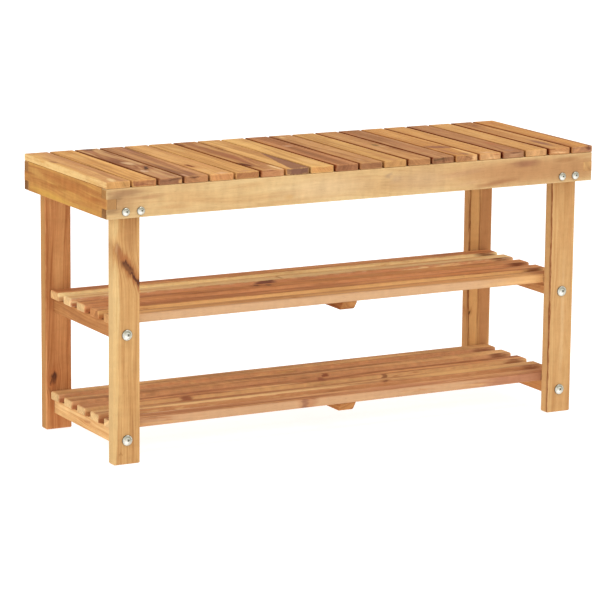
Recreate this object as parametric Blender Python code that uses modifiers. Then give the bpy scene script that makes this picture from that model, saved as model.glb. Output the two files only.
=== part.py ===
"""Slatted entryway bench with two shoe shelves, in solid acacia.

Units are metres, +Z is up, +X runs along the length, -Y is the front.
The origin is on the floor, under the middle of the bench.

The bench is an assembly of separate pieces:
  seat      20 slats running front to back, lying on a frame of four aprons
  frame     front and rear aprons over the full length, finger-jointed at the
            corners with the left and right aprons: each side apron's middle
            third runs through a notch in the long apron
  legs      four boards bolted to the inner faces of the front and rear aprons
  shelves   two; each has two end rails bolted between a front and a rear leg,
            five lengthwise slats on top and one batten under their middle
  fasteners one domed socket-head bolt for every hole, with its nut
"""

import math

import bmesh
import bpy
from mathutils import Matrix

# --------------------------------------------------------------------------
# Driving dimensions
# --------------------------------------------------------------------------
LENGTH = 0.900           # overall length, X
DEPTH = 0.320            # overall depth of the timber, Y
HEIGHT = 0.460           # floor to the top of the seat

GAP = 0.0003             # clearance between pieces that touch

SEAT_COUNT = 20
SEAT_W = 0.0410          # width of one seat slat, X
SEAT_T = 0.0110          # thickness of a seat slat

APRON_H = 0.0480         # height of an apron
APRON_T = 0.0170         # thickness of an apron
FINGER_H = APRON_H / 3   # middle finger of a side apron, through the long ones

LEG_W = 0.0460           # leg width, X
LEG_T = 0.0210           # leg thickness, Y
LEG_INSET = 0.0200       # from the end of the bench to a leg's outer edge

SHELF_SLATS = 5
SHELF_W = 0.0320         # width of a shelf slat, Y
SHELF_T = 0.0145         # thickness of a shelf slat
SHELF_PITCH = 0.0520     # slat to slat, Y
SHELF_LEN = 0.8460       # length of a shelf slat, X
RAIL_T = 0.0180          # thickness of a shelf end rail, X
RAIL_H = 0.0240          # height of a shelf end rail
BATTEN_W = 0.0280        # width of the middle batten, X
BATTEN_H = 0.0150        # height of the middle batten
BATTEN_X = 0.0110        # the batten sits a little off the middle
BATTEN_TOP = 0.2360      # length of its upper edge, Y
BATTEN_BOTTOM = 0.2120   # length of its lower edge, Y
SHELF_BOLT_Z = {"lower": 0.0395, "upper": 0.2105}

APRON_BOLT_X = (0.0330, 0.0590)   # from the end of the bench
APRON_BOLT_UP = 0.0105            # above the apron's lower edge

BOLT_R = 0.0030          # M6 shank
HOLE_R = 0.0034          # clearance hole for it
SMALL_HEAD_R = 0.0068    # apron bolt head
LARGE_HEAD_R = 0.0088    # shelf bolt head
HEAD_H = 0.0030
INSERT_R = 0.0048        # threaded insert in a leg
INSERT_L = 0.0120
BARREL_R = 0.0050        # barrel nut in a rail
BARREL_DEEP = 0.0260     # from the rail's end to the barrel nut's axis
SOCKET_R = 0.0022        # hexagon socket, across corners / 2
SOCKET_D = 0.0018

LEG_TOP = HEIGHT - SEAT_T
APRON_TOP = HEIGHT - SEAT_T - GAP
APRON_BOTTOM = APRON_TOP - APRON_H
LEG_X = LENGTH / 2 - LEG_INSET - LEG_W / 2
LEG_FRONT = DEPTH / 2 - APRON_T - GAP           # outer face of a leg, |Y|
LEG_BACK = LEG_FRONT - LEG_T                    # inner face of a leg, |Y|
LEG_Y = (LEG_FRONT + LEG_BACK) / 2


# --------------------------------------------------------------------------
# Scene and helpers
# --------------------------------------------------------------------------
for ob in list(bpy.data.objects):
    bpy.data.objects.remove(ob, do_unlink=True)

bench = bpy.data.collections.new("entryway_bench")
cutters = bpy.data.collections.new("bench_cutters")
bpy.context.scene.collection.children.link(bench)
bpy.context.scene.collection.children.link(cutters)

root = bpy.data.objects.new("bench_origin", None)
root.empty_display_size = 0.1
bench.objects.link(root)


def material(name, colour, roughness, metallic=0.0):
    mat = bpy.data.materials.new(name)
    mat.use_nodes = True
    bsdf = next(n for n in mat.node_tree.nodes if n.type == "BSDF_PRINCIPLED")
    bsdf.inputs["Base Color"].default_value = (*colour, 1.0)
    bsdf.inputs["Roughness"].default_value = roughness
    bsdf.inputs["Metallic"].default_value = metallic
    mat.diffuse_color = (*colour, 1.0)
    return mat


HONEY = (0.560, 0.315, 0.125)
LIGHT = (0.660, 0.420, 0.190)
TAN = (0.450, 0.230, 0.085)
BROWN = (0.265, 0.118, 0.045)
RED = (0.360, 0.155, 0.062)

# the boards' tones, from the left end of the seat to the right
SEAT_TONES = (HONEY, HONEY, BROWN, TAN, LIGHT, LIGHT, TAN, HONEY, LIGHT, RED,
              TAN, LIGHT, TAN, TAN, HONEY, LIGHT, BROWN, LIGHT, TAN, HONEY)
SHELF_TONES = (RED, TAN, HONEY, RED, LIGHT)


def cube_mesh(name, size):
    """A box of the given size, centred on its own origin."""
    bm = bmesh.new()
    bmesh.ops.create_cube(bm, size=1.0, matrix=Matrix.Diagonal((*size, 1.0)))
    mesh = bpy.data.meshes.new(name)
    bm.to_mesh(mesh)
    bm.free()
    return mesh


def place(ob, location, parent=root):
    ob.location = location
    ob.parent = parent
    return ob


def smooth(mesh, degrees=40.0):
    mesh.shade_smooth()
    mesh.set_sharp_from_angle(angle=math.radians(degrees))


def soften(ob, width, segments=2):
    """Rounded edges on a sawn board."""
    bev = ob.modifiers.new("eased_edges", "BEVEL")
    bev.width = width
    bev.segments = segments
    bev.limit_method = "ANGLE"
    bev.angle_limit = math.radians(40.0)
    bev.use_clamp_overlap = True
    return bev


def board(name, size, location, mat, edge, segments=2):
    mesh = cube_mesh(name, size)
    mesh.materials.append(mat)
    ob = bpy.data.objects.new(name, mesh)
    bench.objects.link(ob)
    place(ob, location)
    soften(ob, edge, segments)
    return ob


def helper(name, mesh, location, rotation=(0.0, 0.0, 0.0)):
    """A hidden body that only cuts or joins another."""
    ob = bpy.data.objects.new(name, mesh)
    cutters.objects.link(ob)
    ob.location = location
    ob.rotation_euler = rotation
    ob.hide_render = True
    ob.display_type = "WIRE"
    return ob


def cylinder_mesh(name, radius, depth, sides=12):
    """A cylinder along Z, centred on its own origin."""
    bm = bmesh.new()
    bmesh.ops.create_cone(bm, cap_ends=True, cap_tris=False, segments=sides,
                          radius1=radius, radius2=radius, depth=depth)
    mesh = bpy.data.meshes.new(name)
    bm.to_mesh(mesh)
    bm.free()
    return mesh


def boolean(ob, other, operation):
    mod = ob.modifiers.new(operation.lower(), "BOOLEAN")
    mod.operation = operation
    mod.solver = "EXACT"
    mod.object = other
    return mod


def drill_y(ob, x, z, y_from, y_to, radius, label, sides=12):
    """A round hole along Y between two depths."""
    length = abs(y_to - y_from)
    mesh = cylinder_mesh(label, radius, length, sides)
    cut = helper(label, mesh, (x, (y_from + y_to) / 2, z),
                 (math.radians(90.0), 0.0, 0.0))
    boolean(ob, cut, "DIFFERENCE")


def side_name(sx):
    return "left" if sx < 0 else "right"


def face_name(sy):
    return "front" if sy < 0 else "rear"


# --------------------------------------------------------------------------
# Seat: slats side by side, running front to back
# --------------------------------------------------------------------------
pitch = (LENGTH - SEAT_W) / (SEAT_COUNT - 1)
for i in range(SEAT_COUNT):
    x = -LENGTH / 2 + SEAT_W / 2 + i * pitch
    mat = material(f"acacia_seat_{i + 1:02d}", SEAT_TONES[i], 0.48)
    board(f"seat_slat_{i + 1:02d}", (SEAT_W, DEPTH, SEAT_T),
          (x, 0.0, HEIGHT - SEAT_T / 2), mat, 0.0018, 1)

# --------------------------------------------------------------------------
# Apron frame
# --------------------------------------------------------------------------
apron_z = (APRON_TOP + APRON_BOTTOM) / 2
apron_bolt_z = APRON_BOTTOM + APRON_BOLT_UP

long_aprons = {}
for sy in (-1, 1):
    name = f"{face_name(sy)}_apron"
    ob = board(name, (LENGTH, APRON_T, APRON_H),
               (0.0, sy * (DEPTH / 2 - APRON_T / 2), apron_z),
               material(f"acacia_{name}", LIGHT, 0.48), 0.0015)
    long_aprons[sy] = ob

shoulder = DEPTH / 2 - APRON_T - GAP            # |Y| of a side apron's shoulders
over = 0.004                                    # how far a cutter runs past
for sx in (-1, 1):
    name = f"{side_name(sx)}_apron"
    x = sx * (LENGTH / 2 - APRON_T / 2)
    ob = board(name, (APRON_T, DEPTH, APRON_H), (x, 0.0, apron_z),
               material(f"acacia_{name}", HONEY, 0.48), 0.0015)
    for sy in (-1, 1):
        # the side apron keeps only its middle finger beyond the shoulders
        y_cut = (shoulder + DEPTH / 2 + over) / 2
        for sz in (-1, 1):
            z_cut = (FINGER_H / 2 + APRON_H / 2 + over) / 2
            waste = helper(f"{name}_{face_name(sy)}_waste",
                           cube_mesh("waste", (APRON_T + 2 * over,
                                               DEPTH / 2 + over - shoulder,
                                               APRON_H / 2 + over
                                               - FINGER_H / 2)),
                           (x, sy * y_cut, apron_z + sz * z_cut))
            boolean(ob, waste, "DIFFERENCE")
        # and the long apron has an open notch for it
        n0 = LENGTH / 2 - APRON_T - GAP
        n1 = LENGTH / 2 + over
        notch = helper(f"{name}_{face_name(sy)}_notch",
                       cube_mesh("notch", (n1 - n0, APRON_T + 2 * over,
                                           FINGER_H + 2 * GAP)),
                       (sx * (n0 + n1) / 2, sy * (DEPTH / 2 - APRON_T / 2),
                        apron_z))
        boolean(long_aprons[sy], notch, "DIFFERENCE")

# --------------------------------------------------------------------------
# Legs
# --------------------------------------------------------------------------
legs = {}
for sy in (-1, 1):
    for sx in (-1, 1):
        name = f"{face_name(sy)}_{side_name(sx)}_leg"
        height = LEG_TOP - GAP
        legs[sx, sy] = board(name, (LEG_W, LEG_T, height),
                             (sx * LEG_X, sy * LEG_Y, height / 2),
                             material(f"acacia_{name}", HONEY, 0.48), 0.0025)

# --------------------------------------------------------------------------
# Shelves
# --------------------------------------------------------------------------
rails = {}
rail_len = 2 * (LEG_BACK - GAP)
for level, bolt_z in SHELF_BOLT_Z.items():
    rail_top = bolt_z + RAIL_H / 2
    for sx in (-1, 1):
        name = f"{level}_shelf_{side_name(sx)}_rail"
        rails[level, sx] = board(name, (RAIL_T, rail_len, RAIL_H),
                                 (sx * LEG_X, 0.0, bolt_z),
                                 material(f"acacia_{name}", TAN, 0.5), 0.0015)
    slat_z = rail_top + GAP + SHELF_T / 2
    for i in range(SHELF_SLATS):
        y = (i - (SHELF_SLATS - 1) / 2) * SHELF_PITCH
        # numbered from the rear to the front
        n = SHELF_SLATS - i
        board(f"{level}_shelf_slat_{n}", (SHELF_LEN, SHELF_W, SHELF_T),
              (0.0, y, slat_z),
              material(f"acacia_{level}_slat_{n}", SHELF_TONES[n - 1], 0.5),
              0.0026, 1)

    # batten: a bar whose two ends are cut back towards the bottom
    name = f"{level}_shelf_batten"
    batten_z = rail_top - BATTEN_H / 2
    mesh = cube_mesh(name, (BATTEN_W, BATTEN_TOP, BATTEN_H))
    for v in mesh.vertices:
        if v.co.z < 0.0:
            v.co.y *= BATTEN_BOTTOM / BATTEN_TOP
    mesh.materials.append(material(f"acacia_{name}", TAN, 0.5))
    batten = bpy.data.objects.new(name, mesh)
    bench.objects.link(batten)
    place(batten, (BATTEN_X, 0.0, batten_z))
    soften(batten, 0.0022)


# --------------------------------------------------------------------------
# Bolts
# --------------------------------------------------------------------------
STEEL = (0.72, 0.72, 0.73)


def bolt_mesh(name, head_r, shank_len):
    """Domed head above z = 0 and a plain shank below it; a profile that runs
    down its outer side, for the Screw modifier to turn about Z."""
    profile = []
    steps = 3
    rim = 0.0009
    for k in range(steps + 1):
        a = k / steps * math.radians(90.0)
        profile.append((head_r * math.sin(a),
                        rim + (HEAD_H - rim) * math.cos(a)))
    profile.append((head_r, 0.0))
    profile.append((BOLT_R, 0.0))
    profile.append((BOLT_R, -(shank_len - 0.0008)))
    profile.append((BOLT_R - 0.0008, -shank_len))
    profile.append((0.0, -shank_len))
    mesh = bpy.data.meshes.new(name)
    bm = bmesh.new()
    verts = [bm.verts.new((x, 0.0, z)) for x, z in profile]
    for a, b in zip(verts, verts[1:]):
        bm.edges.new((a, b))
    bm.to_mesh(mesh)
    bm.free()
    return mesh


def bolt(name, location, sy, head_r, shank_len, nut_mesh, nut_at, nut_rot):
    """sy is -1 for a bolt whose head faces the front, 1 for the rear."""
    mesh = bolt_mesh(name, head_r, shank_len)
    mesh.materials.append(material(f"steel_{name}", STEEL, 0.25, 1.0))
    ob = bpy.data.objects.new(name, mesh)
    bench.objects.link(ob)
    place(ob, location)
    turn = math.radians(90.0 if sy < 0 else -90.0)
    ob.rotation_euler = (turn, 0.0, 0.0)
    screw = ob.modifiers.new("turned", "SCREW")
    screw.axis = "Z"
    screw.angle = math.radians(360.0)
    screw.steps = 12
    screw.render_steps = 12
    screw.use_merge_vertices = True
    screw.merge_threshold = 0.00001
    screw.use_smooth_shade = True

    # the nut is one body with the bolt once it is done up
    nut = helper(f"{name}_nut", nut_mesh, nut_at, nut_rot)
    boolean(ob, nut, "UNION")

    # hexagon socket in the head
    out = Matrix.Rotation(turn, 4, "X") @ Matrix.Translation((0.0, 0.0, HEAD_H))
    key = cylinder_mesh("hexagon_key", SOCKET_R, 2 * SOCKET_D, 6)
    at = Matrix.Translation(location) @ out
    cut = helper(f"{name}_socket", key, at.to_translation(), (turn, 0.0, 0.0))
    boolean(ob, cut, "DIFFERENCE")
    return ob


# apron bolts: through the apron, into a threaded insert in the leg
shank = APRON_T + LEG_T - 0.0035
for sy in (-1, 1):
    for sx in (-1, 1):
        for n, from_end in enumerate(APRON_BOLT_X, start=1):
            x = sx * (LENGTH / 2 - from_end)
            tag = f"{face_name(sy)}_{side_name(sx)}_apron_bolt_{n}"
            y_head = sy * (DEPTH / 2 + GAP)
            y_tip = y_head - sy * shank
            y_in = sy * (LEG_FRONT - GAP)
            # hole through the apron
            drill_y(long_aprons[sy], x, apron_bolt_z,
                    sy * (DEPTH / 2 + 0.004), sy * (LEG_FRONT - 0.002),
                    HOLE_R, f"{tag}_apron_hole")
            # pocket for the insert in the leg, and the tip's hole beyond it
            y_ins = y_in - sy * INSERT_L
            drill_y(legs[sx, sy], x, apron_bolt_z,
                    sy * (LEG_FRONT + 0.003), y_ins - sy * GAP,
                    INSERT_R + GAP, f"{tag}_insert_pocket")
            drill_y(legs[sx, sy], x, apron_bolt_z,
                    sy * LEG_Y, y_tip - sy * GAP,
                    HOLE_R, f"{tag}_tip_hole")
            insert = cylinder_mesh("threaded_insert", INSERT_R, INSERT_L)
            bolt(tag, (x, y_head, apron_bolt_z), sy, SMALL_HEAD_R, shank,
                 insert, (x, (y_in + y_ins) / 2, apron_bolt_z),
                 (math.radians(90.0), 0.0, 0.0))

# shelf bolts: through the leg, along the rail, into a barrel nut
rail_end = LEG_BACK - GAP
shank = LEG_T + GAP + BARREL_DEEP + 0.0080
for level, z in SHELF_BOLT_Z.items():
    for sy in (-1, 1):
        for sx in (-1, 1):
            x = sx * LEG_X
            tag = f"{face_name(sy)}_{side_name(sx)}_{level}_shelf_bolt"
            y_head = sy * (LEG_FRONT + GAP)
            y_tip = y_head - sy * shank
            drill_y(legs[sx, sy], x, z, sy * (LEG_FRONT + 0.004),
                    sy * (LEG_BACK - 0.004), HOLE_R, f"{tag}_leg_hole")
            rail = rails[level, sx]
            drill_y(rail, x, z, sy * (rail_end + 0.004), y_tip - sy * GAP,
                    HOLE_R, f"{tag}_rail_hole")
            # barrel nut, put in from under the rail
            y_nut = sy * (rail_end - BARREL_DEEP)
            nut_h = RAIL_H / 2 + BARREL_R
            nut_z = z + BARREL_R - nut_h / 2
            pocket_h = nut_h + GAP + 0.004
            pocket = helper(f"{tag}_nut_pocket",
                            cylinder_mesh("nut_pocket", BARREL_R + GAP,
                                          pocket_h),
                            (x, y_nut, z + BARREL_R + GAP - pocket_h / 2))
            boolean(rail, pocket, "DIFFERENCE")
            barrel = cylinder_mesh("barrel_nut", BARREL_R, nut_h - 0.0008)
            bolt(tag, (x, y_head, z), sy, LARGE_HEAD_R, shank,
                 barrel, (x, y_nut, nut_z + 0.0004), (0.0, 0.0, 0.0))
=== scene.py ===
"""Looks for the slatted acacia entryway bench.

Every board is rebuilt as a fine mesh with eased edges, its holes and its
joints, and gets its own procedural acacia: a solid ring field that runs
through the board, heartwood bands, knots that push the grain aside, pores,
end grain, edges painted a little lighter as wear and as a highlight, painted
shade where the boards look into narrow gaps, a few painted shadows, and
painted light over the shelves. Every bolt is a turned, domed socket head
with a painted highlight and painted shade. Units are metres; inside the wood
shader they are millimetres.
"""

import math
import random

import bmesh
import bpy
from mathutils import Matrix, Vector


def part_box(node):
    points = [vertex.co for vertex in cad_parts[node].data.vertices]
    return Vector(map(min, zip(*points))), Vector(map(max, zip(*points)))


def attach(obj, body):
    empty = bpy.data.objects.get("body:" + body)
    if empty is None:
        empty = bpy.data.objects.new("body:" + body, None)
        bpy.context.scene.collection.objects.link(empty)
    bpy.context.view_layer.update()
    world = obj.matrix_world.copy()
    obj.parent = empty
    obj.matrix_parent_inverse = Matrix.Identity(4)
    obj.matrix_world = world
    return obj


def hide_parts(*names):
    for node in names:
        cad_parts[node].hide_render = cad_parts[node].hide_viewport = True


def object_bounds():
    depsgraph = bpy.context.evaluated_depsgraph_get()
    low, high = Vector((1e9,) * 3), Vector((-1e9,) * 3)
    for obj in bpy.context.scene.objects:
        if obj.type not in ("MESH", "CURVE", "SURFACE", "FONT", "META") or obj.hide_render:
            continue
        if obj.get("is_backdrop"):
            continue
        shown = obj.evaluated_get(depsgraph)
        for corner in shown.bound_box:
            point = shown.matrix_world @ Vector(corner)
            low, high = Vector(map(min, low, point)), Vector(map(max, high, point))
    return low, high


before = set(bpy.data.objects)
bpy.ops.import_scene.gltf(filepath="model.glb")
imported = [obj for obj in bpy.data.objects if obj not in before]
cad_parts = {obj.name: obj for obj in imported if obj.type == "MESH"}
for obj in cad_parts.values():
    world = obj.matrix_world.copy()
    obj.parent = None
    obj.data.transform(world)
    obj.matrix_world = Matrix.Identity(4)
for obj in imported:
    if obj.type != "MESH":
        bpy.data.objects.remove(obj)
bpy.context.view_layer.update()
scene = bpy.context.scene
scene.view_settings.view_transform = "Standard"
scene.view_settings.look = "None"

# --------------------------------------------------------------------------
# Camera: low three-quarter view from the front left, long lens
# --------------------------------------------------------------------------
yaw, pitch, roll = (math.radians(a) for a in (28.387, -11.577, 0.559))
forward = Vector((math.sin(yaw) * math.cos(pitch),
                  math.cos(yaw) * math.cos(pitch), math.sin(pitch)))
level = Vector((math.cos(yaw), -math.sin(yaw), 0.0))
upright = level.cross(forward)
right = math.cos(roll) * level + math.sin(roll) * upright
up = -math.sin(roll) * level + math.cos(roll) * upright
cam_data = bpy.data.cameras.new("camera")
cam_data.sensor_width = 36.0
cam_data.lens = 188.93
cam_data.clip_start = 0.05
cam_data.clip_end = 200.0
cam = bpy.data.objects.new("camera", cam_data)
scene.collection.objects.link(cam)
turn = Matrix((right, up, -forward)).transposed().to_4x4()
cam.matrix_world = Matrix.Translation((-2.4754, -4.5433, 1.2643)) @ turn
scene.camera = cam

# --------------------------------------------------------------------------
# Light: a soft white room with a large softbox high on the right front
# --------------------------------------------------------------------------
AMBIENT = 1.12
world = bpy.data.worlds.new("studio")
scene.world = world
world.use_nodes = True
wt = world.node_tree
wt.nodes.clear()
w_out = wt.nodes.new("ShaderNodeOutputWorld")
w_bg = wt.nodes.new("ShaderNodeBackground")
w_geo = wt.nodes.new("ShaderNodeTexCoord")
w_sep = wt.nodes.new("ShaderNodeSeparateXYZ")
w_ramp = wt.nodes.new("ShaderNodeValToRGB")
w_ramp.color_ramp.elements[0].position = 0.0
w_ramp.color_ramp.elements[0].color = (1.10, 1.10, 1.09, 1.0)
w_ramp.color_ramp.elements[1].position = 1.0
w_ramp.color_ramp.elements[1].color = (0.74, 0.74, 0.74, 1.0)
w_mid = w_ramp.color_ramp.elements.new(0.38)
w_mid.color = (0.95, 0.95, 0.95, 1.0)
wt.links.new(w_geo.outputs["Generated"], w_sep.inputs[0])
wt.links.new(w_sep.outputs["Z"], w_ramp.inputs["Fac"])
wt.links.new(w_ramp.outputs["Color"], w_bg.inputs["Color"])
w_bg.inputs["Strength"].default_value = AMBIENT
wt.links.new(w_bg.outputs[0], w_out.inputs[0])


def softbox(name, location, target, size, watts, colour):
    data = bpy.data.lights.new(name, "AREA")
    data.shape = "RECTANGLE"
    data.size, data.size_y = size
    data.energy = watts
    data.color = colour
    ob = bpy.data.objects.new(name, data)
    scene.collection.objects.link(ob)
    ob.location = location
    ob.rotation_euler = (Vector(target) - Vector(location)).to_track_quat(
        "-Z", "Y").to_euler()
    return ob


softbox("key_softbox", (0.8, -1.3, 3.2), (0.0, 0.0, 0.25), (2.6, 2.2), 44.0,
        (1.0, 0.985, 0.96))
softbox("left_fill", (-3.4, -1.2, 1.7), (0.0, 0.0, 0.25), (2.2, 1.8), 14.0,
        (1.0, 0.99, 0.975))

softbox("low_front_fill", (-1.6, -3.6, 0.75), (0.0, 0.0, 0.16), (3.0, 1.1), 4.0,
        (1.0, 0.995, 0.985))

# --------------------------------------------------------------------------
# Node helpers
# --------------------------------------------------------------------------


def linear(colour):
    """Hex or 0-255 display colour to linear light."""
    if isinstance(colour, str):
        colour = [int(colour[i:i + 2], 16) for i in (0, 2, 4)]
    out = []
    for c in colour:
        c = c / 255.0
        out.append(c / 12.92 if c <= 0.04045 else ((c + 0.055) / 1.055) ** 2.4)
    return out


GAIN = (0.86, 0.83, 0.80)      # from display colour to surface colour


def surface(colour, f=1.0):
    return tuple(min(0.95, g * c * f) for g, c in zip(GAIN, linear(colour))) + (1.0,)


class Val:
    """A socket with arithmetic on it."""

    def __init__(self, tree, socket):
        self.t, self.s = tree, socket

    def _op(self, op, *others, clamp=False):
        n = self.t.nodes.new("ShaderNodeMath")
        n.operation = op
        n.use_clamp = clamp
        for i, o in enumerate((self, *others)):
            if isinstance(o, Val):
                self.t.links.new(o.s, n.inputs[i])
            else:
                n.inputs[i].default_value = o
        return Val(self.t, n.outputs[0])

    def __add__(self, o): return self._op("ADD", o)
    __radd__ = __add__
    def __mul__(self, o): return self._op("MULTIPLY", o)
    __rmul__ = __mul__
    def __sub__(self, o): return self._op("SUBTRACT", o)
    def __truediv__(self, o): return self._op("DIVIDE", o)
    def __rsub__(self, o): return (self * -1.0) + o
    def abs(self): return self._op("ABSOLUTE")
    def min(self, o): return self._op("MINIMUM", o)
    def max(self, o): return self._op("MAXIMUM", o)
    def pow(self, o): return self._op("POWER", o)
    def exp(self): return self._op("EXPONENT")
    def clamp(self): return self._op("ADD", 0.0, clamp=True)
    def madd(self, a, b): return self._op("MULTIPLY_ADD", a, b)

    def step(self, a, b, lo=0.0, hi=1.0):
        """Smooth from lo at a to hi at b."""
        n = self.t.nodes.new("ShaderNodeMapRange")
        n.interpolation_type = "SMOOTHSTEP"
        if a > b:
            a, b, lo, hi = b, a, hi, lo
        self.t.links.new(self.s, n.inputs["Value"])
        n.inputs["From Min"].default_value = a
        n.inputs["From Max"].default_value = b
        n.inputs["To Min"].default_value = lo
        n.inputs["To Max"].default_value = hi
        return Val(self.t, n.outputs["Result"])


def combine(tree, x, y, z):
    n = tree.nodes.new("ShaderNodeCombineXYZ")
    for i, o in enumerate((x, y, z)):
        if isinstance(o, Val):
            tree.links.new(o.s, n.inputs[i])
        else:
            n.inputs[i].default_value = o
    return n.outputs[0]


def vec(tree, op, a, b):
    n = tree.nodes.new("ShaderNodeVectorMath")
    n.operation = op
    for i, o in enumerate((a, b)):
        if isinstance(o, (tuple, list)):
            n.inputs[i].default_value = o
        elif isinstance(o, (int, float)):
            n.inputs["Scale"].default_value = o
        elif isinstance(o, Val):
            tree.links.new(o.s, n.inputs["Scale"] if op == "SCALE" and i else n.inputs[i])
        else:
            tree.links.new(o, n.inputs[i])
    return n.outputs["Value"] if op in ("LENGTH", "DOT_PRODUCT") else n.outputs[0]


def split(tree, v):
    n = tree.nodes.new("ShaderNodeSeparateXYZ")
    tree.links.new(v, n.inputs[0])
    return [Val(tree, o) for o in n.outputs]


def noise(tree, v, detail=2.0, rough=0.5, scale=1.0, distortion=0.0, colour=False):
    n = tree.nodes.new("ShaderNodeTexNoise")
    n.noise_dimensions = "3D"
    tree.links.new(v, n.inputs["Vector"])
    n.inputs["Scale"].default_value = scale
    n.inputs["Detail"].default_value = detail
    n.inputs["Roughness"].default_value = rough
    n.inputs["Distortion"].default_value = distortion
    if colour:
        return n.outputs["Color"]
    return Val(tree, n.outputs["Fac"])


def mix(tree, factor, a, b, blend="MIX"):
    n = tree.nodes.new("ShaderNodeMix")
    n.data_type = "RGBA"
    n.blend_type = blend
    n.clamp_factor = True
    if isinstance(factor, Val):
        tree.links.new(factor.s, n.inputs[0])
    else:
        n.inputs[0].default_value = factor
    for i, o in ((6, a), (7, b)):
        if isinstance(o, tuple):
            n.inputs[i].default_value = o
        else:
            tree.links.new(o, n.inputs[i])
    return n.outputs[2]


def ramp(tree, factor, stops):
    n = tree.nodes.new("ShaderNodeValToRGB")
    tree.links.new(factor.s, n.inputs["Fac"])
    n.color_ramp.interpolation = "B_SPLINE"
    els = n.color_ramp.elements
    els[0].position, els[0].color = stops[0]
    els[1].position, els[1].color = stops[-1]
    for p, c in stops[1:-1]:
        e = els.new(p)
        e.color = c
    return n.outputs["Color"]


# --------------------------------------------------------------------------
# Acacia
# --------------------------------------------------------------------------
AXES = {          # board's own (L, W, T) from the object's x, y, z
    "seat": ((0, -1, 0), (1, 0, 0), (0, 0, 1)),      # L to the front
    "long": ((1, 0, 0), (0, 0, 1), (0, 1, 0)),       # L to the right
    "side": ((0, -1, 0), (0, 0, 1), (1, 0, 0)),
    "leg": ((0, 0, 1), (1, 0, 0), (0, 1, 0)),        # L up
    "shelf": ((1, 0, 0), (0, 1, 0), (0, 0, 1)),
    "batten": ((0, -1, 0), (1, 0, 0), (0, 0, 1)),
}


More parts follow.
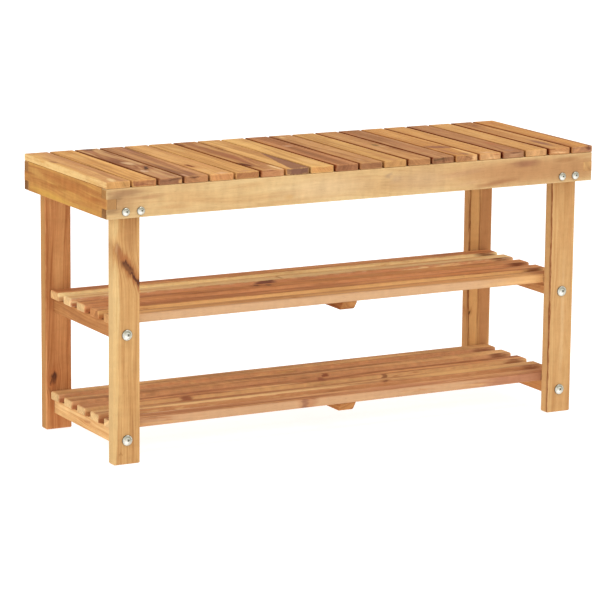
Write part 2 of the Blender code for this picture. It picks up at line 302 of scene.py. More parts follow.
def acacia(name, lo, hi, kind, seed, mid, dark=None, light=None, end=None,
           pith=(6.0, 46.0), broad=0.55, medium=0.40, fine=0.34, figure=0.10,
           tilt=0.0, patches=(), knots=(), end_dark=0.80, gloss=0.64,
           wavy=1.0, stain=0.10, painted_gap_shade=(0.0, 0.0), rub=(0.30, 0.30),
           lift=1.0, arc=1.0, end_low=None, end_marks=(), gap_shade_from=None,
           burn=(0.0, 0.0)):
    """One board's wood. mid, dark and light are display colours of its body,
    its dark bands and its light bands; pith is the tree's centre in the
    board's W, T, in mm; patches and knots are given in the board's L, W.
    flanks is painted shade on the -W and +W sides, as they look inside a narrow
    gap; rub is how far the long edges and the end edges are painted lighter,
    partly as wear and partly as a highlight on the rounded edges; arc is how
    strongly the rings show on the end grain, end_low the colour of its lower
    half, and end_marks smears on the +L end, given in the board's W, T;
    gap_shade_from is the height in T below which the painted gap shade starts; burn
    is painted shade on the rounded -W and +W edges of the face, beside the gaps."""
    mat = bpy.data.materials.new(f"acacia_{name}")
    mat.use_nodes = True
    t = mat.node_tree
    t.nodes.clear()
    out = t.nodes.new("ShaderNodeOutputMaterial")
    bsdf = t.nodes.new("ShaderNodeBsdfPrincipled")
    t.links.new(bsdf.outputs[0], out.inputs[0])

    rgb = linear(mid)
    dark = linear(dark) if dark else [rgb[0] * 0.66, rgb[1] * 0.56, rgb[2] * 0.54]
    light = linear(light) if light else [rgb[0] * 1.20, rgb[1] * 1.27, rgb[2] * 1.30]

    def surf(c, f=1.0):
        return tuple(min(0.94, g * x * f * lift) for g, x in zip(GAIN, c)) + (1.0,)

    # --- position in the board, mm
    centre = (lo + hi) / 2
    half = (hi - lo) * 500.0
    axes = [Vector(a) for a in AXES[kind]]
    hl, hw, ht = (abs(a.dot(half)) for a in axes)
    coord = t.nodes.new("ShaderNodeTexCoord")
    p = vec(t, "SUBTRACT", coord.outputs["Object"], tuple(centre))
    p = vec(t, "SCALE", p, 1000.0)
    x, y, z = split(t, p)
    pick = []
    for a in axes:
        k = max(range(3), key=lambda i: abs(a[i]))
        v = (x, y, z)[k]
        pick.append(v if a[k] > 0 else v * -1.0)
    L, W, T = pick
    rnd = random.Random(seed * 7919 + 13)
    off = tuple(rnd.uniform(-400.0, 400.0) for _ in range(3))
    nx, ny, nz = split(t, coord.outputs["Normal"])
    ax = max(range(3), key=lambda i: abs(axes[0][i]))
    facing = (nx, ny, nz)[ax].abs()
    wx = max(range(3), key=lambda i: abs(axes[1][i]))
    side_w = (nx, ny, nz)[wx] * float(axes[1][wx])

    g = combine(t, L, W, T)
    gs = vec(t, "ADD", g, off)                       # seeded, for every noise

    # --- slow wander of the grain
    slow = noise(t, vec(t, "MULTIPLY", gs, (0.0034, 0.012, 0.012)), 1.0, 0.5,
                 colour=True)
    slow = vec(t, "SUBTRACT", slow, (0.5, 0.5, 0.5))
    slow = vec(t, "MULTIPLY", slow, (0.0, 26.0 * wavy, 20.0 * wavy))
    # --- ragged, fibrous edges for streaks and patches
    rag = noise(t, vec(t, "MULTIPLY", gs, (0.030, 0.22, 0.22)), 2.0, 0.6,
                colour=True)
    rag = vec(t, "SUBTRACT", rag, (0.5, 0.5, 0.5))
    rag = vec(t, "MULTIPLY", rag, (24.0, 4.6, 4.6))
    gr = vec(t, "ADD", vec(t, "ADD", g, rag), vec(t, "SCALE", slow, 0.25))
    rL, rW, rT = split(t, gr)
    rag_w = rW - W

    # --- knots push the rings aside
    ring_w = W
    cores = []
    for (l0, w0, a, b, slope, strength, colour) in knots:
        dl = (L - l0) * (1.0 / a)
        dw = (W - w0 - (L - l0) * slope)
        q = (dl * dl) + (dw * (1.0 / b)) * (dw * (1.0 / b))
        near = (q * -0.30).exp()
        ring_w = ring_w - dw * near * 0.80
        cores.append((l0, w0, a, b, slope, strength, colour))
    gk = combine(t, L, ring_w, T)
    gw = vec(t, "ADD", gk, slow)
    _, ww, wt_ = split(t, gw)
    rx, ry = ww - pith[0], wt_ - pith[1]
    r = ((rx * rx) + (ry * ry)).pow(0.5)

    # --- heartwood bands and growth rings follow the ring field
    sx, sy, sz = off
    nb = noise(t, combine(t, r * 0.058 + sx, L * 0.0021 + sy, sz), 2.0, 0.55)
    nm = noise(t, combine(t, r * 0.26 + sy, L * 0.0042 + sz, sx), 2.0, 0.6)
    nf = noise(t, combine(t, r * 0.95 + sz, L * 0.0075 + sx, sy), 2.0, 0.65)
    v = ((nb - 0.5) * (3.2 * broad)) + 0.5
    v = v + (nm - 0.5) * (2.6 * medium) + (nf - 0.5) * (2.0 * fine)
    if tilt:
        v = v + W * (tilt / hw)
    base = ramp(t, v, [
        (0.0, surf([d * 0.82 for d in dark])),
        (0.26, surf(dark)),
        (0.50, surf(rgb)),
        (0.76, surf(light)),
        (1.0, surf([l * 1.06 for l in light]))])

    # --- soft stains, golden to tan
    blot = noise(t, vec(t, "MULTIPLY", gs, (0.020, 0.075, 0.075)), 2.0, 0.55)
    blot2 = noise(t, vec(t, "MULTIPLY", gs, (0.055, 0.15, 0.15)), 2.0, 0.55,
                  distortion=0.6)
    warm = ((blot - 0.5) * (stain * 5.0) + (blot2 - 0.5) * (stain * 6.2)) + 0.5
    gold = ramp(t, warm, [(0.0, (0.80, 0.74, 0.70, 1.0)), (0.5, (1.0, 1.0, 1.0, 1.0)),
                          (1.0, (1.12, 1.20, 1.16, 1.0))])
    base = vec(t, "MULTIPLY", base, gold)

    # --- streaks, sapwood and stains
    # the patches also paint a few shadows and a highlight
    for patch in patches:
        l0, w0, a, b, slope, soft, strength, colour = patch[:8]
        dl = (rL - l0)
        dw = (rW - w0 - dl * slope) * (1.0 / b)
        dl = dl * (1.0 / a)
        d = (dl * dl) + (dw * dw)
        if len(patch) > 8:                           # and where it is in T
            dt = (rT - patch[8]) * (1.0 / patch[9])
            d = d + dt * dt
        d = d.pow(0.5)
        m = d.step(1.0, 1.0 - soft, 0.0, strength)
        base = mix(t, m, base, surface(colour, lift))
    for (l0, w0, a, b, slope, strength, colour) in cores:
        dl = (rL - l0)
        dw = (rW - w0 - dl * slope) * (1.0 / b)
        dl = dl * (1.0 / a)
        d = ((dl * dl) + (dw * dw)).pow(0.5)
        halo = d.step(2.6, 0.7, 0.0, 0.55 * strength)
        base = mix(t, halo, base, surf([c * f for c, f in zip(rgb, (0.72, 0.55, 0.48))]))
        rings = noise(t, combine(t, d * 3.1 + sx, L * 0.05, sz), 1.0, 0.5)
        core = (d + (rings - 0.5) * 0.9).step(1.05, 0.35, 0.0, strength)
        base = mix(t, core, base, surface(colour, lift))

    # --- fibre, figure across the grain, pores
    fib = noise(t, vec(t, "MULTIPLY", gs, (0.035, 0.90, 0.90)), 3.0, 0.65)
    fig = noise(t, vec(t, "MULTIPLY", gs, (0.070, 0.030, 0.030)), 2.0, 0.6)
    tone = ((fib - 0.5) * 0.30) + ((fig - 0.5) * (figure * 2.2)) + 1.0
    base = vec(t, "SCALE", base, tone)
    pore = noise(t, vec(t, "MULTIPLY", gs, (0.15, 1.7, 1.7)), 1.0, 0.5)
    pores = pore.step(0.66, 0.74, 0.0, 0.34)
    base = mix(t, pores, base, vec(t, "MULTIPLY", base, (0.55, 0.42, 0.36)))

    # --- end grain: darker, with the rings as arcs and open pores as dots
    ends = facing.step(0.55, 0.90)
    e_col = surface(end, min(lift, 1.1)) if end else surf([rgb[0] * end_dark, rgb[1] * end_dark * 0.95,
                                            rgb[2] * end_dark * 0.92])
    if end_low:
        e_col = mix(t, (W + (rT - T) * 0.3).step(4.0, -6.0), e_col,
                    surface(end_low, min(lift, 1.1)))
    for (w0, t0, a, b, slope, strength, colour) in end_marks:
        dw = (rW - w0)
        dt = (rT * 0.5 + T * 0.5 - t0 - dw * slope) * (1.0 / b)
        dw = dw * (1.0 / a)
        m = ((dw * dw) + (dt * dt)).pow(0.5).step(1.05, 0.35, 0.0, min(1.0, strength * 1.15))
        m = m * L.step(0.0, 1.0)
        e_col = mix(t, m, e_col, surface(colour))
    arcs = ((nf - 0.5) * (0.42 * arc)) + ((nm - 0.5) * (0.50 * arc)) \
        + ((nb - 0.5) * (0.4 * arc)) + ((blot2 - 0.5) * (0.5 * min(1.0, arc + 0.1))) + 1.0
    dots = noise(t, vec(t, "MULTIPLY", gs, (0.4, 1.15, 1.15)), 2.0, 0.6)
    arcs = arcs + dots.step(0.60, 0.74, 0.0, -0.14)
    e_mix = mix(t, 0.18, e_col, base)
    base = mix(t, ends, base, vec(t, "SCALE", e_mix, arcs))

    # --- painted shade on the sides that face into a narrow gap
    for sign, amount in ((-1.0, painted_gap_shade[0]), (1.0, painted_gap_shade[1])):
        if amount:
            inner = (side_w * sign).step(0.10, 0.55, 0.0, amount)
            if gap_shade_from is not None:
                inner = inner * T.step(gap_shade_from, gap_shade_from - 5.0)
            base = mix(t, inner, base, vec(t, "MULTIPLY", base, (0.44, 0.165, 0.085)))

    # --- long edges that were rounded over: painted shade where they drop into the gaps
    for sign, amount in ((-1.0, burn[0]), (1.0, burn[1])):
        if amount:
            near = (W * sign + (rag_w * 0.25)).step(hw - 3.6, hw - 0.4, 0.0, amount)
            base = mix(t, near, base, vec(t, "MULTIPLY", base, (0.62, 0.37, 0.22)))

    # --- edges: painted a little lighter, partly as wear and partly as a highlight on the rounded edges
    dl, dw, dt = (hl - L.abs()), (hw - W.abs()), (ht - T.abs())
    ragged = (blot2 - 0.5) * 6.0 + (fib - 0.5) * 2.0
    along = (dw.max(dt) + ragged).step(2.0, 0.1, 0.0, rub[0])
    across = (dl.max(dw.min(dt)) + ragged).step(2.2, 0.2, 0.0, rub[1])
    base = mix(t, along.max(across), base, surf([min(0.9, rgb[0] * 1.34),
                                                 min(0.8, rgb[1] * 1.48),
                                                 rgb[2] * 1.60]))
    t.links.new(base, bsdf.inputs["Base Color"])

    # --- oiled, satin surface
    rough = ((fib - 0.5) * 0.30) + ((nm - 0.5) * 0.16) + gloss
    rough = rough + pores * 0.5 + ends * 0.16
    t.links.new(rough.s, bsdf.inputs["Roughness"])
    height = ((fib - 0.5) * 0.8) + ((nf - 0.5) * 0.5) - pores * 1.6 \
        - (dots.step(0.58, 0.70) * ends) * 0.8
    bump = t.nodes.new("ShaderNodeBump")
    bump.inputs["Strength"].default_value = 0.55
    bump.inputs["Distance"].default_value = 0.00022
    t.links.new(height.s, bump.inputs["Height"])
    t.links.new(bump.outputs[0], bsdf.inputs["Normal"])
    bsdf.inputs["Specular IOR Level"].default_value = 0.012
    bsdf.inputs["IOR"].default_value = 1.48
    mat.diffuse_color = surface(mid)
    return mat


# --------------------------------------------------------------------------
# Boards
# --------------------------------------------------------------------------
LONG_AXIS = {"seat": 1, "long": 0, "side": 1, "leg": 2, "shelf": 0, "batten": 1}


def block(name, lo, hi, radius, segments, kind, seed, wander=0.0, pace=0.024):
    """A rounded board between two corners: eased edges, holding loops beside
    them, cuts along its length, and a slow wander of its sides."""
    size, centre = hi - lo, (hi + lo) / 2
    bm = bmesh.new()
    bmesh.ops.create_cube(bm, size=1.0, matrix=Matrix.Translation(centre)
                          @ Matrix.Diagonal((*size, 1.0)))
    bmesh.ops.bevel(bm, geom=bm.edges[:], offset=radius, offset_type="OFFSET",
                    segments=segments, profile=0.5, affect="EDGES",
                    clamp_overlap=True)
    ax = LONG_AXIS[kind]
    for k in range(3):
        at = [lo[k] + radius * 1.35, hi[k] - radius * 1.35]
        if k == ax:
            n = max(2, int(round(size[k] / pace)))
            at += [lo[k] + size[k] * i / n for i in range(1, n)]
        elif size[k] > 0.018:
            n = max(2, int(round(size[k] / 0.012)))
            at += [lo[k] + size[k] * i / n for i in range(1, n)]
        for c in at:
            normal = Vector((0.0, 0.0, 0.0))
            normal[k] = 1.0
            point = centre.copy()
            point[k] = c
            bmesh.ops.bisect_plane(bm, geom=bm.verts[:] + bm.edges[:] + bm.faces[:],
                                   dist=1e-6, plane_co=point, plane_no=normal)
    if wander:
        rnd = random.Random(seed * 31 + 7)
        waves = [(rnd.uniform(0.09, 0.30), rnd.uniform(0, 6.28)) for _ in range(4)]
        skew = [rnd.uniform(-1, 1) for _ in range(4)]
        others = [k for k in range(3) if k != ax]
        wide = max(others, key=lambda k: size[k])
        for v in bm.verts:
            s = (v.co[ax] - centre[ax])
            side = 0 if v.co[wide] < centre[wide] else 1
            wl, ph = waves[side]
            wl2, ph2 = waves[side + 2]
            d = 0.6 * math.sin(6.283 * s / wl + ph) + 0.4 * math.sin(6.283 * s / (wl2 * 0.4) + ph2)
            grip = min(1.0, abs(v.co[wide] - centre[wide]) / (size[wide] / 2))
            v.co[wide] += wander * d * grip
            # ends sawn a hair off square
            e = 1.0 if abs(s) > size[ax] / 2 - radius * 1.6 else 0.0
            if e:
                q = (v.co[wide] - centre[wide]) / (size[wide] / 2)
                v.co[ax] += wander * 0.9 * (skew[0] * q + skew[1]) * (1 if s > 0 else 0) \
                    + wander * 0.9 * (skew[2] * q + skew[3]) * (1 if s < 0 else 0)
    mesh = bpy.data.meshes.new(name)
    bm.to_mesh(mesh)
    bm.free()
    return mesh


def link(name, mesh, material, slot, *nodes):
    ob = bpy.data.objects.new(name, mesh)
    scene.collection.objects.link(ob)
    ob.data.materials.clear()
    ob.data.materials.append(material)
    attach(ob, "root")
    if nodes:
        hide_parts(*nodes)
    return ob


def finish_shading(ob, degrees=38.0):
    ob.data.shade_smooth()
    ob.data.set_sharp_from_angle(angle=math.radians(degrees))
    mod = ob.modifiers.new("even_normals", "WEIGHTED_NORMAL")
    mod.keep_sharp = True
    mod.weight = 60


def cylinder(radius, depth, matrix, sides=40):
    bm = bmesh.new()
    bmesh.ops.create_cone(bm, cap_ends=True, cap_tris=False, segments=sides,
                          radius1=radius, radius2=radius, depth=depth, matrix=matrix)
    mesh = bpy.data.meshes.new("cutter")
    bm.to_mesh(mesh)
    bm.free()
    return mesh


def cuboid(lo, hi):
    bm = bmesh.new()
    lo, hi = Vector(lo), Vector(hi)
    bmesh.ops.create_cube(bm, size=1.0, matrix=Matrix.Translation((lo + hi) / 2)
                          @ Matrix.Diagonal((*(hi - lo), 1.0)))
    mesh = bpy.data.meshes.new("cutter")
    bm.to_mesh(mesh)
    bm.free()
    return mesh


def carve(mesh, cutters):
    """mesh less every cutter mesh."""
    ob = bpy.data.objects.new("carve", mesh)
    scene.collection.objects.link(ob)
    tools = []
    for c in cutters:
        tool = bpy.data.objects.new("carve_tool", c)
        scene.collection.objects.link(tool)
        tools.append(tool)
        mod = ob.modifiers.new("cut", "BOOLEAN")
        mod.operation = "DIFFERENCE"
        mod.solver = "EXACT"
        mod.object = tool
    bpy.context.view_layer.update()
    dg = bpy.context.evaluated_depsgraph_get()
    done = bpy.data.meshes.new_from_object(ob.evaluated_get(dg))
    for o in [ob, *tools]:
        bpy.data.objects.remove(o, do_unlink=True)
    return done


ALONG_Y = Matrix.Rotation(math.radians(90.0), 4, "X")


def hole_y(x, y0, y1, z, radius):
    return cylinder(radius, abs(y1 - y0),
                    Matrix.Translation((x, (y0 + y1) / 2, z)) @ ALONG_Y)


# --- driving sizes, the same as the CAD's
GAP = 0.0003
APRON_T, APRON_H = 0.0170, 0.0480
FINGER_H = APRON_H / 3
LEG_T = 0.0210
RAIL_H = 0.0240
LENGTH, DEPTH = 0.900, 0.320
LEG_FRONT = DEPTH / 2 - APRON_T - GAP
LEG_BACK = LEG_FRONT - LEG_T
SHELF_BOLT_Z = {"lower": 0.0395, "upper": 0.2105}

# --- seat slats ------------------------------------------------------------
# patches: (L, W, half length, half width, slope, softness, strength, colour)
# knots:   (L, W, half length, half width, slope, strength, colour)
SEAT = [
    dict(mid="d09b64", dark="b9855a", light="dcb077", end="ca995f", tilt=-0.03,
         broad=0.30, medium=0.26, pith=(60, 22),
         stain=0.13,
         patches=[(-40, -18, 170, 10.5, 0.0, 0.8, 0.50, "e5b76a"),
                  (-125, -12, 36, 9, 0.0, 0.8, 0.60, "e1b36e"),
                  (112, -18, 40, 4, 0.0, 0.8, 0.60, "e9c178"),
                  (141, -3, 24, 9, -0.15, 0.8, 0.72, "f0d197"),
                  (70, 2, 36, 5, -0.1, 0.9, 0.35, "dcad69"),
                  (-20, 6, 60, 6, 0.0, 0.9, 0.35, "c98e58"),
                  # painted highlight along the rounded left edge
                  (0, -21.6, 400, 2.4, 0.0, 0.6, 0.85, "eecb8c"),
                  (-58, -13, 22, 7, 0.12, 0.85, 0.85, "96694a")]),
    dict(mid="d9a464", end="a46e4d", broad=0.28, medium=0.22, pith=(70, -18), stain=0.12,
         patches=[(-90, 0, 60, 13, 0.0, 0.9, 0.50, "e4b878"),
                  (-24, -6, 10, 12, 0.0, 0.9, 0.45, "cd9255"),
                  (90, -4, 50, 9, 0.0, 0.9, 0.35, "e0ac65"),
                  (150, 12, 14, 8, 0.0, 0.7, 0.45, "af6f48")],
         end_marks=[(-3, -2.0, 19, 2.2, 0.03, 0.75, "8a5443"),
                    (10, -1.0, 9, 1.0, -0.08, 0.60, "d8a578"),
                    (-6, 3.5, 16, 1.6, 0.0, 0.50, "d0925e")]),
    dict(mid="b07a52", end="7f5441", dark="86563c", light="c99e6f", broad=0.62,
         medium=0.46, pith=(-8, 40), stain=0.16,
         patches=[(-150, 4, 14, 14, 0.0, 0.8, 0.75, "674c3e"),
                  (-128, -6, 14, 11, 0.0, 0.8, 0.50, "af7b61"),
                  (-88, 0, 26, 9, 0.05, 0.9, 0.60, "c1905f"),
                  (-90, 16, 70, 5, 0.0, 0.8, 0.75, "885034"),
                  (-42, -5, 22, 15, 0.0, 0.8, 0.65, "946346"),
                  (4, 1, 23, 13, 0.05, 0.75, 0.92, "d7b084"),
                  (36, 6, 14, 14, 0.1, 0.8, 0.60, "9c6546"),
                  (130, 12, 50, 8, 0.0, 0.8, 0.60, "935d45"),
                  (132, -6, 50, 10, 0.0, 0.9, 0.45, "b57e63"),
                  (84, -9, 13, 8.5, -0.1, 0.6, 0.95, "e3c19c"),
                  (0, -20, 300, 3, 0.0, 0.8, 0.60, "854b2f")],
         knots=[(57, 6.5, 20, 6.0, -0.46, 0.95, "50362b")],
         end_marks=[(7, 2.4, 16, 2.0, 0.14, 0.85, "5b3b30"),
                    (-10, 4.2, 12, 1.2, 0.0, 0.50, "b07c5c"),
                    (18, -1.5, 6, 4.5, 0.0, 0.75, "d2a168")]),
    dict(mid="bc8659", end="b58158", dark="96684a", light="d5a370", broad=0.42, medium=0.36,
         pith=(40, 34), stain=0.13,
         patches=[(-20, -8, 170, 8, 0.02, 0.9, 0.60, "d09d68"),
                  (20, 9, 150, 5.5, -0.02, 0.8, 0.80, "a06a48"),
                  (-120, 8, 50, 9, 0.0, 0.9, 0.40, "b17761"),
                  (60, 19, 120, 3.5, 0.0, 0.8, 0.50, "c58d5d"),
                  (132, 2, 38, 8, -0.06, 0.8, 0.75, "8f614c"),
                  (150, -14, 22, 6, 0.0, 0.8, 0.60, "d9a986")],
         end_marks=[(-3, 4.2, 12, 3.2, 0.0, 0.90, "694435")]),
    dict(mid="d3a066", end="be8456", broad=0.28, medium=0.22, pith=(66, 30), stain=0.12,
         patches=[(-60, 0, 70, 12, 0.0, 0.9, 0.35, "dbae73"),
                  (50, 13, 120, 8, 0.0, 0.9, 0.60, "c68c59"),
                  (112, -8, 34, 7, 0.02, 0.9, 0.55, "dfb379"),
                  (152, 4, 12, 14, 0.0, 0.8, 0.45, "e1b695")],
         knots=[(69, -12, 20, 6.5, 0.10, 0.95, "7a4229")]),
    dict(mid="d09d60", end="9b6746", broad=0.28, medium=0.26, pith=(-52, 22), stain=0.12,
         patches=[(-94, -2, 46, 12, 0.0, 0.9, 0.55, "ddb273"),
                  (90, 4, 60, 12, 0.0, 0.9, 0.40, "c58e56"),
                  (0, 18, 190, 4, 0.0, 0.8, 0.40, "c18851"),
                  (150, 0, 14, 20, 0.0, 0.8, 0.50, "b78260")]),
    dict(mid="b37a4e", end="b47f59", dark="8a593c", light="ca9c64", broad=0.45,
         medium=0.32, pith=(14, 42), stain=0.13,
         patches=[(-112, 9, 30, 9, 0.0, 0.8, 0.65, "c79a68"),
                  (-140, -16, 28, 5, 0.0, 0.7, 0.70, "774d36"),
                  (-60, 17, 44, 4.0, 0.0, 0.8, 0.50, "966744"),
                  (30, 2, 90, 13, 0.0, 0.9, 0.45, "b06f4c"),
                  (99, -15, 29, 7.5, 0.05, 0.65, 0.96, "5f2e1d"),
                  (128, 2, 30, 9, 0.0, 0.9, 0.45, "9e6a50"),
                  (142, 18, 36, 8, 0.02, 0.5, 0.92, "e6bd88"),
                  (156, -4, 6, 16, 0.0, 0.8, 0.60, "d6a07a")],
         end_marks=[(-7, 5.0, 17, 1.8, 0.0, 0.90, "744737")]),
    dict(mid="d3a165", end="785749", broad=0.26, medium=0.24, pith=(58, -30), stain=0.11,
         patches=[(-120, 0, 60, 12, 0.0, 0.9, 0.45, "d9ad70"),
                  (-80, -18, 30, 6, 0.0, 0.8, 0.55, "ab7644"),
                  (200, 22, 330, 41.0, -0.132, 0.05, 0.97, "93684e"),
                  (70, 18, 110, 5, -0.04, 0.8, 0.45, "885e49"),
                  (90, -16, 80, 4, 0.0, 0.8, 0.45, "deb570")],
         end_marks=[(-21, 0, 3.5, 8, 0.1, 0.85, "d9a878")]),
    dict(mid="ddae6d", end="c78f59", broad=0.24, medium=0.20, pith=(50, 34), stain=0.11,
         patches=[(-125, 6, 30, 8, 0.0, 0.9, 0.45, "cd9d66"),
                  (110, 4, 60, 13, 0.0, 0.9, 0.50, "ebc085"),
                  (0, -18, 190, 4, 0.0, 0.8, 0.45, "cb9559")],
         knots=[(-128, 8, 7, 3.0, 0.05, 0.45, "ae7b50")]),
    dict(mid="b77d53", end="8f6146", dark="956442", light="c99364", broad=0.34,
         medium=0.26, pith=(-60, 26), stain=0.12,
         patches=[(-48, 3, 13, 11, 0.0, 0.8, 0.60, "d1a27e"),
                  (-100, -20, 70, 3.5, 0.0, 0.6, 0.75, "d19b57"),
                  (100, 12, 40, 8, 0.0, 0.9, 0.30, "c58d64")]),
    dict(mid="bf8d5c", end="906347", broad=0.26, medium=0.26, pith=(22, 48), stain=0.20,
         patches=[(-138, -8, 22, 7, 0.0, 0.8, 0.80, "dcb47e"),
                  (30, 6, 40, 6, 0.02, 0.9, 0.50, "cda172"),
                  (110, 12, 60, 7, 0.0, 0.9, 0.55, "a57352"),
                  (-60, -20, 100, 3, 0.0, 0.7, 0.5, "925835"),
                  (128, -6, 20, 7, 0.0, 0.9, 0.45, "cba17a")]),
    dict(mid="cc9c60", end="bd8e5c", broad=0.28, medium=0.24, pith=(-44, 30), stain=0.18,
         patches=[(110, 2, 70, 14, 0.0, 0.9, 0.40, "c28c5c"),
                  (-10, 4, 60, 9, 0.0, 0.9, 0.35, "d7ac6f"),
                  (150, 0, 14, 18, 0.0, 0.9, 0.45, "ce986d")]),
    dict(mid="c18f5d", end="a2734d", broad=0.28, medium=0.26, pith=(36, 38), stain=0.20,
         patches=[(4, 6, 15, 7, 0.0, 0.7, 0.95, "7e643f"),
                  (18, 10, 8, 7, 0.0, 0.8, 0.60, "d3ae81"),
                  (-14, -5, 14, 6, 0.0, 0.8, 0.55, "b87659"),
                  (-110, -6, 40, 9, 0.0, 0.9, 0.35, "ce9e69"),
                  (60, -6, 60, 8, 0.0, 0.9, 0.40, "d0a071"),
                  (128, 0, 40, 14, 0.0, 0.9, 0.40, "b27d4f")]),
    dict(mid="b38059", end="7f5740", dark="91623e", light="c59765", broad=0.30, medium=0.26,
         pith=(54, 16), stain=0.18,
         patches=[(-130, -14, 34, 6, 0.0, 0.8, 0.55, "a5663e"),
                  (60, 0, 110, 14, 0.0, 0.9, 0.35, "b47a53"),
                  (140, 12, 30, 8, 0.0, 0.9, 0.40, "a26e4b")],
         end_marks=[(-8, 1.6, 18, 2.0, 0.10, 0.85, "54402f"),
                    (10, -3, 12, 2.0, 0.0, 0.45, "b07e58")]),
    dict(mid="d29c5f", end="a97a56", broad=0.28, medium=0.24, pith=(-48, 30), stain=0.18,
         patches=[(-60, 0, 80, 13, 0.0, 0.9, 0.35, "daa868"),
                  (66, 2, 25, 28, 0.9, 0.75, 0.95, "92624a"),
                  (146, 6, 20, 11, 0.0, 0.75, 0.80, "9a6e52"),
                  (118, -11, 50, 8, 0.03, 0.7, 0.80, "a87350"),
                  (124, 16, 48, 7.5, -0.06, 0.6, 0.92, "e0b276"),
                  (52, 20, 10, 4, 0.0, 0.8, 0.6, "8b5b4c")],
         end_marks=[(17, 0, 10, 7, 0.0, 0.80, "dcb282"),
                    (4, 1.5, 14, 1.0, -0.36, 0.75, "7c5638"),
                    (-8, 2.5, 10, 1.4, 0.0, 0.40, "bb855f")]),
    dict(mid="cb975d", end="cd9e6f", broad=0.24, medium=0.22, pith=(64, 30), stain=0.18,
         patches=[(0, 17, 190, 3, 0.0, 0.8, 0.4, "d4a76e"),
                  (-100, -16, 60, 5, 0.0, 0.8, 0.4, "b8814c"),
                  (150, 0, 12, 20, 0.0, 0.8, 0.45, "dcb18b")],
         end_marks=[(13, 3.2, 9, 1.2, -0.10, 0.70, "b8714f"),
                    (2, -2, 12, 1.5, 0.10, 0.50, "e2bd90")]),
    dict(mid="a6714c", end="9c7457", dark="83553b", light="b9885b", broad=0.38,
         medium=0.32, pith=(6, 36), stain=0.18,
         patches=[(10, -6, 60, 6, 0.02, 0.9, 0.45, "b7865a"),
                  (70, 12, 36, 9, 0.0, 0.9, 0.60, "a9623f"),
                  (-100, 8, 50, 8, 0.0, 0.9, 0.40, "9b6748"),
                  (146, -2, 16, 16, 0.0, 0.8, 0.55, "ab8167")],
         end_marks=[(4, 3.8, 17, 1.5, 0.05, 0.75, "765142"),
                    (4, 0.5, 16, 1.0, 0.06, 0.55, "c39c79"),
                    (-2, -2.8, 16, 1.5, 0.0, 0.45, "c09570")]),
    dict(mid="c9975e", end="c99b6d", broad=0.24, medium=0.20, pith=(-58, 24), stain=0.18,
         patches=[(-10, 2, 60, 10, 0.0, 0.9, 0.40, "d6ab71"),
                  (0, -19, 190, 3, 0.0, 0.8, 0.45, "ab734a"),
                  (120, -6, 50, 8, 0.0, 0.9, 0.35, "c58f5c")]),
    dict(mid="b8804e", end="b8855b", dark="8c5d3c", light="cf9f67", broad=0.38,
         medium=0.34, pith=(30, 40), stain=0.18,
         patches=[(-116, 3, 15, 9, 0.0, 0.75, 0.80, "916041"),
                  (-60, 8, 60, 7, 0.0, 0.9, 0.50, "cf9861"),
                  (98, 2, 56, 12, 0.0, 0.75, 0.90, "93664f"),
                  (120, -17, 60, 4, 0.0, 0.8, 0.55, "814e37"),
                  (100, 18, 90, 4, 0.0, 0.8, 0.50, "d19963")],
         end_marks=[(-13, 4.0, 9, 2.0, 0.10, 0.80, "7e4b31"),
                    (0, -2.4, 19, 1.8, -0.02, 0.65, "e6bb8b")]),
    dict(mid="c78f54", end="a5785c", dark="98613d", broad=0.36, medium=0.28,
         pith=(-30, 42), stain=0.13,
         patches=[(40, 16, 190, 5, 0.0, 0.8, 0.70, "9c6948"),
                  (158, 17, 14, 8, 0.0, 0.7, 0.75, "79524e"),
                  (-20, -4, 90, 8, 0.0, 0.9, 0.45, "d49f5d"),
                  (-130, 0, 26, 14, 0.0, 0.9, 0.5, "b47750"),
                  (90, -12, 70, 6, 0.0, 0.9, 0.45, "b87b50")],
         end_marks=[(13, 2.0, 9, 4.5, -0.30, 0.85, "6f4636"),
                    (-10, 0, 10, 4, 0.0, 0.50, "c99466")]),
]

# how much painted shade falls in the gap left of each slat, on its side and on the rounded edges
# beside it
GAP_SHADE = (0.0, 0.0, 0.55, 0.45, 0.10, 0.0, 0.65, 0.20, 0.10, 0.75, 0.62, 0.30,
             0.80, 0.92, 0.45, 0.58, 1.0, 0.27, 1.0, 0.68)
for i, look in enumerate(SEAT):
    node = f"seat_slat_{i + 1:02d}"
    lo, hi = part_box(node)
    # painted shade on each slat's sides, inside the gaps
    look["painted_gap_shade"] = (GAP_SHADE[i], 0.25 if i < len(SEAT) - 1 else 0.0)
    # painted shade on the rounded long edges beside the gaps
    look["burn"] = (0.75 * GAP_SHADE[i], 0.30 * GAP_SHADE[i + 1] if i < 19 else 0.0)
    # edges painted lighter, partly as wear and partly as a highlight
    look["rub"] = (0.08, 0.36)
    wood = acacia(node, lo, hi, "seat", 101 + i, **look)
    mesh = block(node, lo, hi, 0.0013, 4, "seat", 11 + i, wander=0.00022)
    ob = link(node + "_board", mesh, wood, "seat_slats", node)
    finish_shading(ob, 60.0)

